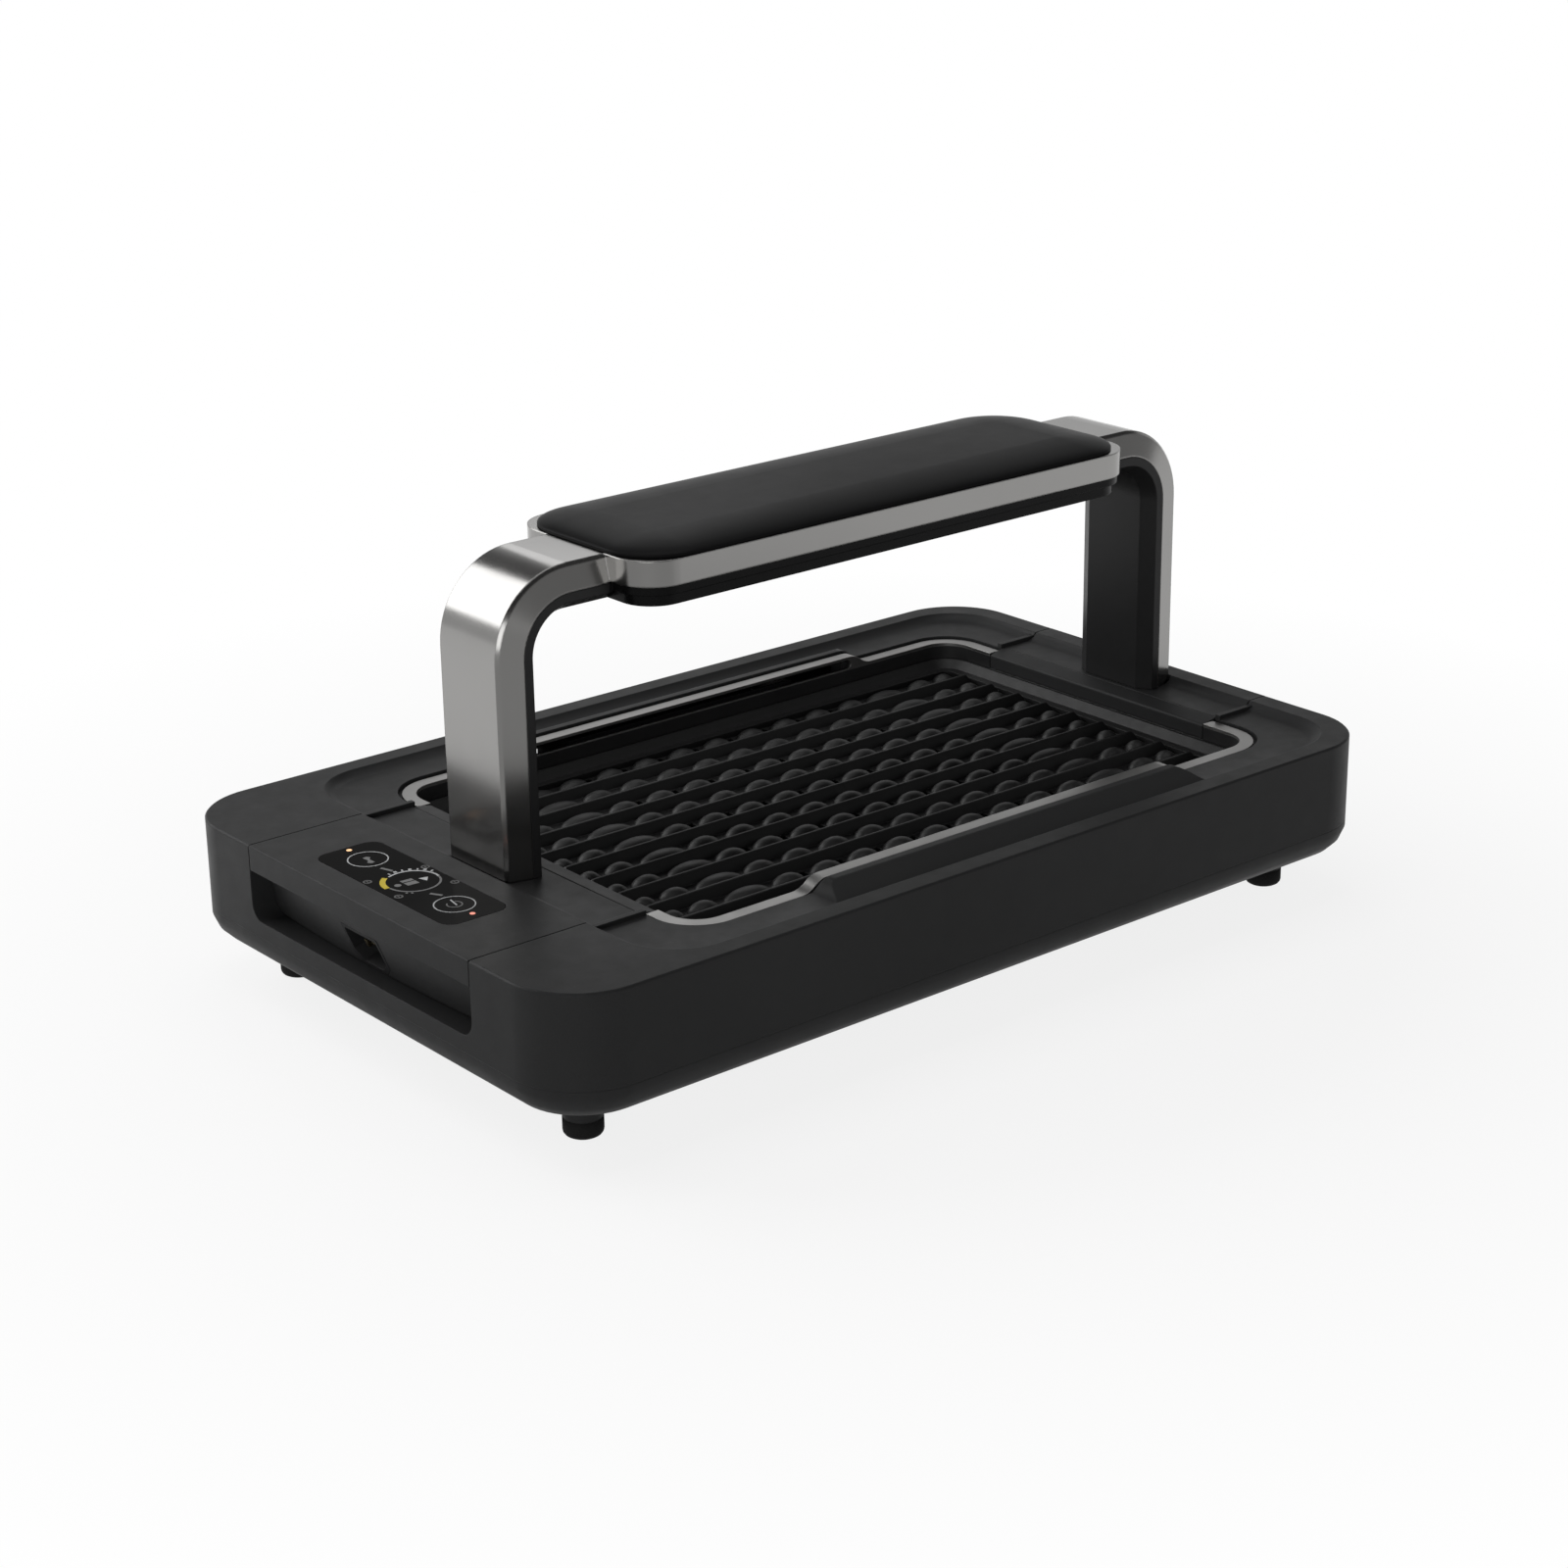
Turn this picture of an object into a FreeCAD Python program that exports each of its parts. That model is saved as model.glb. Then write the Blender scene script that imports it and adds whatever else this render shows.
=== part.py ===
import FreeCAD, Part
import math
import os

Vector = FreeCAD.Vector

# Smokeless electric grill, in millimetres. X runs along the length with the control
# end at -X, Y runs to the back, Z is up, and the origin is on the floor under the
# centre of the base.

# Base
base_length = 500.0
base_depth = 306.0
base_corner = 36.0
deck_height = 82.0
seam_height = 38.0
shell_underside = 22.0
shell_bottom_round = 15.5
round_bands = 3
shell_floor_bevel = 10.5
wall = 3.0
shell_wall = 2.5
deck_edge_chamfer = 0.8
tongue_height = 3.0
tongue_thickness = 1.2

# Clearances
seat_gap = 0.3
slide_gap = 0.6
overlap = 0.5
shaft_clearance = 0.05

# Dish sunk into the deck round the cooking area
control_deck_length = 61.0
right_deck_length = 12.0
side_deck_width = 11.0
dish_left = control_deck_length - base_length / 2
dish_right = base_length / 2 - right_deck_length
dish_half_depth = base_depth / 2 - side_deck_width
dish_corner = 30.0
dish_depth = 3.5
dish_slope = 6.0
dish_slope_break = 2.0

# Drip pan, hung by its rim in the opening of the dish
pan_left_margin = 38.25
pan_right_margin = 34.25
pan_side_margin = 31.0
pan_left = dish_left + pan_left_margin
pan_right = dish_right - pan_right_margin
pan_centre_x = (pan_left + pan_right) / 2
pan_half_length = (pan_right - pan_left) / 2
pan_half_depth = dish_half_depth - pan_side_margin
pan_corner = 15.5
pan_thickness = 1.5
rim_width = 6.75
rim_drop = 4.5
rim_top = deck_height - rim_drop
rim_rise = 5.5
rim_low_length = 71.25
rim_raised_half = pan_half_length - rim_low_length
rim_ramp = 15.0
rim_gap = 2.0
ledge_width = 5.0
pan_step_height = 59.0
pan_step_width = 4.0
pan_floor = 44.0
pan_floor_round = 8.0
slot_end = 0.5
slot_half_length = rim_raised_half + slot_end
slot_height = 5.0

# Bulge of the deck round the raised parts of the rim
bulge_rise = 2.0
bulge_top = deck_height + bulge_rise
bulge_flat = 4.0
bulge_foot = dish_half_depth - dish_slope
bulge_round = 3.0
bulge_sink = 1.0

# Grill plate
plate_gap = 0.7
plate_frame_top = 69.0
plate_frame_land = 1.2
plate_slope = 4.3
plate_border_height = 65.0
plate_border = 5.0
channel_floor = 62.0
rib_count = 9
rib_side_margin = 8.0
rib_pitch = 2 * (pan_half_depth - rib_side_margin) / (rib_count + 1)
rib_top = 67.5
rib_base_width = 7.0
rib_top_width = 1.6
rib_end_slope = 4.5
rib_end_margin = 9.75
rib_half_length = pan_half_length - rib_end_margin
bump_top = 66.5
bump_length = 17.0
bump_repeats = 4
bump_base_width = 12.4
bump_crest_width = 3.4
bump_crest_share = 0.42
bump_root = 0.5
long_bump_length = 27.0
long_bump_margin = 62.65
long_bump_step = 24.2
long_bump_offset = pan_half_length - long_bump_margin
bump_pitch = (long_bump_offset - long_bump_step) / bump_repeats
outer_bump_margin = 37.25
end_bump_length = 12.0
end_bump_margin = 20.25
drain_length = 4.2
drain_width = 4.6
drain_offset = 3.4

# End modules that close the notches in the base
left_module_margin = 65.0
right_module_margin = 75.0
left_module_half = base_depth / 2 - left_module_margin
right_module_half = base_depth / 2 - right_module_margin
notch_floor = 46.0
notch_corner = 8.0
strip_height = 12.0
recess_depth_middle = 10.0
recess_depth_ends = 14.0
recess_top_depth_ends = 9.0
lip_width = 9.65
lip_drop = 1.3
lip_thickness = 3.2
lip_groove = 0.8
flap_thickness = 2.0
flap_drop = 12.7
flap_bottom = deck_height - flap_drop
module_base_thickness = 2.0

# Controls and mains inlet
panel_margin = 30.6
panel_centre_x = panel_margin - base_length / 2
panel_centre_y = 1.4
panel_half_length = 53.9
panel_half_width = 16.9
panel_corner = 7.0
panel_thickness = 1.6
board_inset = 4.5
board_end_inset = 2.0
board_thickness = 1.6
board_drop = 4.0
board_post = 4.0
transformer_length = 20.0
transformer_width = 20.0
transformer_height = 15.0
transformer_y = 28.0
relay_length = 14.0
relay_width = 18.0
relay_height = 11.0
relay_y = -31.0
inlet_height = 57.0
inlet_width = 25.0
inlet_opening = 18.0
inlet_depth = 17.0
inlet_wall = 2.0
inlet_corner = 1.5
inlet_chamfer = 5.0
pin_count = 3
pin_pitch = 7.0

# Arch and heater head
arch_left_margin = 4.5
arch_left = dish_left + arch_left_margin
arch_right = dish_right
arch_height = 136.5
arch_top = deck_height + arch_height
arch_corner = 39.0
arch_face_half = 22.4
arch_side_half = 25.4
arch_edge = 1.5
arch_shell_depth = 12.5
arch_wall = 2.0
lining_flush_depth = 17.0
lining_depth = 21.5
lining_face_half = 18.0
lining_start = arch_shell_depth + seat_gap / 2
lining_section = [
    (lining_start, arch_side_half),
    (lining_flush_depth, arch_side_half),
    (lining_depth, lining_face_half),
]
foot_block = 8.0
head_half_depth = 50.0
left_arm_length = 60.0
right_arm_length = 58.0
head_left = arch_left + left_arm_length
head_right = arch_right - right_arm_length
head_corner = 20.0
head_end_margin = 24.0
head_band = 12.0
head_wall = 3.0
head_inner_corner = 16.0
body_strip = 4.0
body_inset = 1.1
body_lower_inset = 3.6
body_bottom = arch_top - lining_depth
cover_end_margin = 1.0
cover_side_margin = 0.8
cover_corner = 28.0
cover_rise = 5.6
cover_rim_across = 12.6
cover_rim_drop = 4.4
cover_pillow_across = 22.0
cover_pillow_drop = 3.7
cover_wall = 2.0
tube_radius = 5.0
tube_offset = 18.0
tube_wall = 1.0
tube_drop = 12.0
tube_height = arch_top - tube_drop
tube_sides = 16
cap_length = 14.0
cap_half = 6.5
coil_radius = 2.2
reflector_sheet = 0.8
reflector_lift = 4.0
reflector_depth = 13.0
reflector_ridge = 6.0
reflector_half = 7.0
reflector_bend = 3.0
grille_bar = 1.6
grille_pitch = 17.0
grille_bevel = 0.65

# Feet, screws and mains parts
foot_end_margin = 37.0
foot_side_margin = 39.7
foot_x = base_length / 2 - foot_end_margin
foot_y = base_depth / 2 - foot_side_margin
foot_radius = 9.0
foot_boss_radius = 8.75
foot_pad_height = 8.5
foot_pad_chamfer = 2.5
foot_sides = 24
screw_end_margin = 20.0
screw_side_margin = 33.0
screw_x = base_length / 2 - screw_end_margin
screw_y = base_depth / 2 - screw_side_margin
screw_radius = 2.0
screw_sides = 8
screw_head_radius = 3.6
screw_head_height = 2.4
screw_post_half = 4.5
case_screw_length = 26.0
tenon_half_width = 14.0
clamp_half_width = 22.0
clamp_thickness = 2.5
bolt_radius = 2.5
bolt_length = 9.0
bolt_head_radius = 4.6
bolt_head_height = 3.2

# Blower behind the rear air slot, with the duct that brings air from the front slot
rotor_end_margin = 38.0
rotor_length = 2 * (rim_raised_half - rotor_end_margin)
rotor_tip_gap = 1.35
rotor_blades = 9
blade_share = 0.28
blade_lean = 24.0
blade_tip_inset = 0.3
rotor_shaft_radius = 2.5
rotor_z = 50.0
blower_wall = 1.6
blower_gap = 3.0
motor_side_gap = 0.95
motor_length = 24.0
motor_sides = 20
duct_end_margin = 46.0
duct_half_length = rim_raised_half - duct_end_margin
liner_gap = 1.5
liner_thickness = 1.0
collar_depth = 6.5
louvre_count = 4
louvre_overlap = 7.0
louvre_length = rotor_length + 2 * louvre_overlap
louvre_height = 3.6
louvre_pitch = 7.5
floor_slot_count = 6
floor_slot_margin = 100.0
floor_slot_x = floor_slot_margin - base_length / 2
floor_slot_length = 44.0
floor_slot_width = 3.0
floor_slot_pitch = 9.0
plug_margin = 36.0
plug_length = 24.0
plug_width = 16.0
plug_side_margin = 34.0
plug_y = plug_side_margin - left_module_half

# Values worked out from the sizes above
rim_high = rim_top + rim_rise
dish_floor = deck_height - dish_depth
wall_face = base_length / 2
plate_underside = pan_step_height
far = 2 * base_length


# Outlines: left, right, front, back and corner radius in the plane of the floor
base_outline = (-base_length / 2, base_length / 2, -base_depth / 2, base_depth / 2, base_corner)
dish_outline = (dish_left, dish_right, -dish_half_depth, dish_half_depth, dish_corner)
pan_inside = (pan_left, pan_right, -pan_half_depth, pan_half_depth, pan_corner)


def grown(outline, distance):
    left, right, front, back, radius = outline
    return (left - distance, right + distance, front - distance, back + distance, radius + distance)


pan_outside = grown(pan_inside, pan_thickness)
rim_outline = grown(pan_inside, rim_width)
opening_outline = grown(rim_outline, rim_gap)
well_outline = grown(pan_outside, liner_gap)


def rounded_wire(points, radii):
    # Closed outline through the points, each corner an arc of its own radius
    corners = []
    for index, corner in enumerate(points):
        radius = radii[index]
        back = (points[index - 1] - corner).normalize()
        ahead = (points[(index + 1) % len(points)] - corner).normalize()
        if radius <= 0:
            corners.append((corner, None, corner))
            continue
        half = back.getAngle(ahead) / 2
        reach = radius / math.tan(half)
        bisector = (back + ahead).normalize()
        middle = corner + bisector * (radius / math.sin(half) - radius)
        corners.append((corner + back * reach, middle, corner + ahead * reach))
    edges = []
    for index, (start, middle, end) in enumerate(corners):
        if middle is not None:
            edges.append(Part.Arc(start, middle, end).toShape())
        following = corners[(index + 1) % len(corners)][0]
        if (following - end).Length > 1e-6:
            edges.append(Part.LineSegment(end, following).toShape())
    return Part.Wire(edges)


def outline_wire(outline, height):
    left, right, front, back, radius = outline
    points = [
        Vector(left, front, height),
        Vector(right, front, height),
        Vector(right, back, height),
        Vector(left, back, height),
    ]
    return rounded_wire(points, [radius] * 4)


def prism(outline, bottom, top):
    return Part.Face(outline_wire(outline, bottom)).extrude(Vector(0, 0, top - bottom))


def block(left, right, front, back, bottom, top):
    return Part.makeBox(right - left, back - front, top - bottom, Vector(left, front, bottom))


def along_x(points, radii, start, end):
    # Section in Y and Z, drawn along X
    wire = rounded_wire([Vector(start, y, z) for y, z in points], radii)
    return Part.Face(wire).extrude(Vector(end - start, 0, 0))


def along_y(points, radii, start, end):
    # Section in X and Z, drawn along Y
    wire = rounded_wire([Vector(x, start, z) for x, z in points], radii)
    return Part.Face(wire).extrude(Vector(0, end - start, 0))


def polygon(sides, centre, across, up, radius, length):
    # Prism with flat sides round a centre, drawn along the third direction
    corners = []
    for index in range(sides):
        angle = 2 * math.pi * (index + 0.5) / sides
        corners.append(centre + across * (radius * math.cos(angle)) + up * (radius * math.sin(angle)))
    face = Part.Face(Part.makePolygon(corners + [corners[0]]))
    return face.extrude(across.cross(up) * length)


def upright(sides, x, y, bottom, top, radius):
    return polygon(sides, Vector(x, y, bottom), Vector(1, 0, 0), Vector(0, 1, 0), radius, top - bottom)


def lying(sides, start, y, z, radius, length):
    return polygon(sides, Vector(start, y, z), Vector(0, 1, 0), Vector(0, 0, 1), radius, length)


def fused(shapes):
    return shapes[0].multiFuse(shapes[1:]).removeSplitter()


def edges_at(shape, height):
    level = []
    for edge in shape.Edges:
        box = edge.BoundBox
        if abs(box.ZMin - height) < 1e-4 and abs(box.ZMax - height) < 1e-4:
            level.append(edge)
    return level


def chamfered_bottom(outline, bottom, top, size):
    body = prism(outline, bottom, top)
    return body.makeChamfer(size, edges_at(body, bottom))


def cut_corner(outline, bottom, top, level, across, down):
    # Prism whose edge at one level is cut back across the flat and down the side
    body = prism(outline, bottom, top)
    return body.makeChamfer(down, across, edges_at(body, level))


def rounded_edge(outline, bottom, top, level, radius):
    # Rounding of the edge at one level in flat bands that touch the round
    body = None
    for index in range(1, round_bands + 1):
        angle = math.pi / 2 * index / (round_bands + 1)
        reach = radius * (math.sin(angle) + math.cos(angle) - 1)
        band = cut_corner(outline, bottom, top, level, reach / math.sin(angle), reach / math.cos(angle))
        body = band if body is None else body.common(band)
    return body


def rounded_bottom(outline, bottom, top, radius):
    return rounded_edge(outline, bottom, top, bottom, radius)


def ogee(start, end):
    # Two equal arcs from start to end, level at both ends: points to draw them through
    run = end[0] - start[0]
    rise = end[1] - start[1]
    radius = (run ** 2 + rise ** 2) / (4 * abs(rise))
    half = math.asin(abs(run) / 2 / radius) / 2
    along = math.copysign(radius * math.sin(half), run)
    up = math.copysign(radius * (1 - math.cos(half)), rise)
    middle = ((start[0] + end[0]) / 2, (start[1] + end[1]) / 2)
    return [(start[0] + along, start[1] + up), middle, (end[0] - along, end[1] - up)]


def ogee_edges(start, end, place):
    first, middle, last = ogee(start, end)
    return [
        Part.Arc(place(*start), place(*first), place(*middle)).toShape(),
        Part.Arc(place(*middle), place(*last), place(*end)).toShape(),
    ]


def line(start, end, place):
    return Part.LineSegment(place(*start), place(*end)).toShape()


def below_line(low, high, centre, high_half, ramp, bottom, half_depth):
    # Everything under a line that climbs from low to high and back along X
    def place(x, z):
        return Vector(x, -half_depth, z)

    outer = high_half + ramp
    path = [
        (centre - far, low),
        (centre - outer, low),
        (centre - high_half, high),
        (centre + high_half, high),
        (centre + outer, low),
        (centre + far, low),
    ]
    edges = [line(path[0], path[1], place)]
    edges += ogee_edges(path[1], path[2], place)
    edges.append(line(path[2], path[3], place))
    edges += ogee_edges(path[3], path[4], place)
    edges.append(line(path[4], path[5], place))
    edges.append(line(path[5], (centre + far, bottom), place))
    edges.append(line((centre + far, bottom), (centre - far, bottom), place))
    edges.append(line((centre - far, bottom), path[0], place))
    return Part.Face(Part.Wire(edges)).extrude(Vector(0, 2 * half_depth, 0))


def below_rim(offset):
    level = rim_top + offset
    return below_line(level, level + rim_rise, pan_centre_x, rim_raised_half, rim_ramp, 0, base_depth / 2)


def mirrored_y(shape):
    return shape.mirror(Vector(0, 0, 0), Vector(0, 1, 0))


def notch_profile(half, inset):
    # Section of a notch for an end module, open at the top
    bottom = notch_floor + inset
    reach = half - inset
    points = [(-reach, bottom), (reach, bottom), (reach, far), (-reach, far)]
    return points, [notch_corner - inset, notch_corner - inset, 0, 0]


def notch(side, half, inset, end_x, inner_x):
    points, radii = notch_profile(half, inset)
    return along_x(points, radii, side * end_x, side * inner_x)


def module_inner_x(side):
    # Distance from the base's centre to the inner wall of a module's pocket
    opening = opening_outline[1] if side > 0 else -opening_outline[0]
    return opening + wall


def bulge():
    # Swelling of the deck behind the raised rim, fading out at both ends
    edge = opening_outline[3]
    section = along_x(
        [
            (edge - ledge_width - rim_gap, dish_floor - wall),
            (edge - ledge_width - rim_gap, bulge_top),
            (edge + bulge_flat, bulge_top),
            (bulge_foot, dish_floor),
            (bulge_foot, dish_floor - wall),
        ],
        [0, 0, bulge_round, 0, 0],
        pan_centre_x - rim_raised_half - rim_ramp,
        pan_centre_x + rim_raised_half + rim_ramp,
    )
    swell = below_line(
        dish_floor - bulge_sink, bulge_top, pan_centre_x, rim_raised_half, rim_ramp, 0, base_depth / 2
    )
    return section.common(swell)


def air_passage(front, back):
    # Hollow under the bulge that leads air from the pan's slot down behind the well
    roof = rim_high - pan_thickness - wall / 2
    deck_under = dish_floor - wall
    return along_x(
        [
            (front, deck_under - collar_depth),
            (front, roof),
            (opening_outline[3] + bulge_flat, roof),
            (back, deck_under),
            (back, deck_under - collar_depth),
        ],
        [0] * 5,
        pan_centre_x - rim_raised_half + wall,
        pan_centre_x + rim_raised_half - wall,
    )


def square_post(x, y, bottom, top):
    half = screw_post_half
    return block(x - half, x + half, y - half, y + half, bottom, top)


def base_housing():
    body = prism(base_outline, seam_height, deck_height)
    body = body.makeChamfer(deck_edge_chamfer, edges_at(body, deck_height))
    top = deck_height + 2 * dish_slope_break
    steep = cut_corner(
        grown(dish_outline, dish_slope_break),
        dish_floor,
        top,
        dish_floor,
        dish_depth + dish_slope_break,
        dish_depth + dish_slope_break,
    )
    shallow_rise = dish_depth - dish_slope_break
    shallow_run = dish_slope - dish_slope_break
    shallow = cut_corner(
        grown(dish_outline, dish_slope),
        dish_floor,
        top + dish_slope,
        dish_floor,
        2 * dish_slope,
        2 * dish_slope * shallow_rise / shallow_run,
    )
    body = body.cut(steep.common(shallow))
    deck_under = dish_floor - wall
    hollow = prism(grown(base_outline, -wall), seam_height - 1, deck_under)
    margin = prism(grown(base_outline, -wall), deck_under - 1, deck_height - wall)
    margin = margin.cut(prism(grown(dish_outline, wall), deck_under - 2, deck_height))
    body = body.cut(hollow).cut(margin)

    additions = [prism(grown(opening_outline, wall), deck_under - collar_depth + wall, dish_floor)]
    additions += [bulge(), mirrored_y(bulge())]
    for side, half in ((-1, left_module_half), (1, right_module_half)):
        pocket = notch(side, half, -wall, wall_face - wall / 2, module_inner_x(side) - wall)
        limit = prism(grown(dish_outline, -wall), 0, dish_floor - 0.5)
        limit = limit.fuse(prism(grown(base_outline, -wall / 2), 0, deck_height - wall / 2))
        additions.append(pocket.common(limit))
    body = body.multiFuse(additions)

    opening = prism(well_outline, 0, far)
    rebate = prism(opening_outline, 0, far).cut(below_rim(-pan_thickness))
    passage = air_passage(well_outline[3] - 1, bulge_foot - 1)
    cuts = [opening, rebate, passage, mirrored_y(passage)]
    for side, half in ((-1, left_module_half), (1, right_module_half)):
        cuts.append(notch(side, half, 0, wall_face + 1, module_inner_x(side)))
        lip = notch(side, half, 0, wall_face, pan_half_length + side * pan_centre_x)
        lip_floor = rim_top - lip_drop - lip_thickness - seat_gap
        cuts.append(lip.common(block(-far, far, -far, far, lip_floor, far)))
    for index in range(louvre_count):
        height = rotor_z + (index - (louvre_count - 1) / 2) * louvre_pitch
        cuts.append(
            block(
                pan_centre_x - louvre_length / 2,
                pan_centre_x + louvre_length / 2,
                base_depth / 2 - 2 * wall,
                base_depth / 2 + 1,
                height - louvre_height / 2,
                height + louvre_height / 2,
            )
        )
    body = body.cut(Part.makeCompound(cuts))

    posts = []
    holes = []
    for x in (-screw_x, screw_x):
        for y in (-screw_y, screw_y):
            skin = dish_floor if dish_left < x < dish_right else deck_height
            posts.append(square_post(x, y, seam_height, skin - wall / 2))
            top = shell_underside + screw_head_height + case_screw_length
            holes.append(upright(screw_sides, x, y, seam_height - 1, top + 1, screw_radius + shaft_clearance))
    body = body.multiFuse(posts).cut(Part.makeCompound(holes))
    hole = block(*plug_box(slide_gap), 0, notch_floor + 1)
    return body.cut(hole).removeSplitter()


def bottom_shell():
    body = rounded_bottom(base_outline, shell_underside, seam_height, shell_bottom_round)
    floor = shell_underside + shell_wall
    inside = grown(base_outline, -shell_wall)
    body = body.cut(chamfered_bottom(inside, floor, seam_height + 1, shell_floor_bevel))
    tongue_outside = grown(base_outline, -wall - seat_gap)
    tongue = prism(grown(base_outline, -shell_wall / 2), seam_height - tongue_height, seam_height)
    tongue = tongue.fuse(prism(tongue_outside, seam_height - 1, seam_height + tongue_height))
    tongue = tongue.cut(prism(grown(tongue_outside, -tongue_thickness), 0, far))
    additions = [tongue]
    cuts = []
    for x in (-foot_x, foot_x):
        for y in (-foot_y, foot_y):
            top = shell_underside + shell_wall + 1
            additions.append(upright(foot_sides, x, y, foot_pad_height, top, foot_boss_radius))
    for x in (-screw_x, screw_x):
        for y in (-screw_y, screw_y):
            floor = shell_underside + 1
            additions.append(square_post(x, y, floor, seam_height - seat_gap))
            cuts.append(upright(screw_sides, x, y, 0, seam_height, screw_radius + slide_gap / 2))
            half = screw_head_radius + seat_gap
            head = shell_underside + screw_head_height
            cuts.append(block(x - half, x + half, y - half, y + half, 0, head))
    for index in range(floor_slot_count):
        x = floor_slot_x + (index - (floor_slot_count - 1) / 2) * floor_slot_pitch
        half = floor_slot_length / 2
        cuts.append(
            block(
                x - floor_slot_width / 2,
                x + floor_slot_width / 2,
                -half,
                half,
                0,
                seam_height,
            )
        )
    return body.multiFuse(additions).cut(Part.makeCompound(cuts)).removeSplitter()


def foot_pads():
    pads = []
    for x in (-foot_x, foot_x):
        for y in (-foot_y, foot_y):
            pad = upright(foot_sides, x, y, 0, foot_pad_height, foot_radius)
            pads.append(pad.makeChamfer(foot_pad_chamfer, edges_at(pad, 0)))
    return Part.makeCompound(pads)


def hex_bolt(x, y, head_bottom, head_radius, head_height, radius, length):
    # Six-sided head below, shank upwards
    head_top = head_bottom + head_height
    head = upright(6, x, y, head_bottom, head_top, head_radius)
    return head.fuse(upright(screw_sides, x, y, head_top - overlap, head_top + length, radius))


def case_screws():
    screws = []
    for x in (-screw_x, screw_x):
        for y in (-screw_y, screw_y):
            screws.append(
                hex_bolt(
                    x, y, shell_underside, screw_head_radius, screw_head_height, screw_radius, case_screw_length
                )
            )
    return Part.makeCompound(screws)


def well_liner():
    # Sheet tub under the deck that the drip pan hangs in
    collar_bottom = dish_floor - wall - collar_depth + wall
    top = collar_bottom - seat_gap
    bottom = pan_floor - pan_thickness - liner_gap - liner_thickness
    outside = grown(well_outline, liner_thickness)
    body = prism(outside, bottom, top).cut(prism(well_outline, bottom + liner_thickness, top + 1))
    lip = prism(grown(outside, ledge_width - slide_gap), top - liner_thickness, top)
    lip = lip.cut(prism(well_outline, 0, far))
    return body.fuse(lip).removeSplitter()


def inside_tongue():
    # Half depth left free inside the tongue of the bottom shell
    return base_depth / 2 - wall - tongue_thickness - 2 * seat_gap


def blower_ends():
    return pan_centre_x - rotor_length / 2 - blower_gap, pan_centre_x + rotor_length / 2 + blower_gap


def blower_section(inset):
    front = well_outline[3] + liner_thickness + ledge_width + seat_gap + inset
    back = inside_tongue() - inset
    bottom = rotor_z - (back - front) / 2 - inset
    return front, back, bottom


def blower_housing():
    start, end = blower_ends()
    top = dish_floor - wall - seat_gap
    front, back, bottom = blower_section(0)
    front_in, back_in, bottom_in = blower_section(blower_wall)
    radius = (back - front) / 2.01
    outside = along_x(
        [(front, bottom), (back, bottom), (back, top), (front, top)],
        [radius, radius, 0, 0],
        start - blower_wall,
        end + blower_wall,
    )
    radius_in = (back_in - front_in) / 2.01
    inside = along_x(
        [(front_in, bottom + blower_wall), (back_in, bottom + blower_wall), (back_in, far), (front_in, far)],
        [radius_in, radius_in, 0, 0],
        start,
        end,
    )
    span = louvre_count * louvre_pitch
    outlet = block(start + wall, end - wall, back - 2 * blower_wall, far, rotor_z - span / 2, rotor_z + span / 2)
    bore = Part.makeCylinder(
        rotor_shaft_radius + shaft_clearance,
        end - start + 4 * blower_wall,
        Vector(start - 2 * blower_wall, rotor_y_axis(), rotor_z),
        Vector(1, 0, 0),
    )
    return outside.cut(Part.makeCompound([inside, outlet, bore])).removeSplitter()


def rotor_y_axis():
    front, back, bottom = blower_section(0)
    return (front + back) / 2


def scroll_radius():
    # Half the depth of the blower housing, which the motor and the rotor keep inside
    front, back, bottom = blower_section(0)
    return (back - front) / 2


def blower_motor():
    start, end = blower_ends()
    outer_end = start - blower_wall
    start = outer_end - motor_length
    radius = scroll_radius() - motor_side_gap
    motor = lying(motor_sides, start, rotor_y_axis(), rotor_z, radius, motor_length)
    bore = Part.makeCylinder(
        rotor_shaft_radius + shaft_clearance,
        motor_length,
        Vector(start + 2 * blower_wall, rotor_y_axis(), rotor_z),
        Vector(1, 0, 0),
    )
    return motor.cut(bore)


def blower_rotor():
    start, end = blower_ends()
    y = rotor_y_axis()
    axis = Vector(1, 0, 0)
    radius = scroll_radius() - blower_wall - rotor_tip_gap
    left = pan_centre_x - rotor_length / 2
    shaft_start = start - blower_wall - motor_length + 3 * blower_wall
    shaft = Part.makeCylinder(
        rotor_shaft_radius, end + blower_wall - shaft_start, Vector(shaft_start, y, rotor_z), axis
    )
    pieces = [shaft]
    for share in (0.0, 1.0):
        x = left + share * (rotor_length - blower_wall)
        pieces.append(lying(motor_sides, x, y, rotor_z, radius, blower_wall))
    blade_depth = radius * blade_share
    blade_bottom = rotor_z + radius - blade_depth
    for index in range(rotor_blades):
        blade = Part.makeBox(
            rotor_length - 2 * blower_wall,
            blower_wall / 2,
            blade_depth,
            Vector(left + blower_wall, y - blower_wall / 4, blade_bottom - blade_tip_inset),
        )
        blade.rotate(Vector(left, y, blade_bottom), axis, blade_lean)
        blade.rotate(Vector(left, y, rotor_z), axis, 360 * index / rotor_blades)
        pieces.append(blade)
    return fused(pieces)


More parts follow.
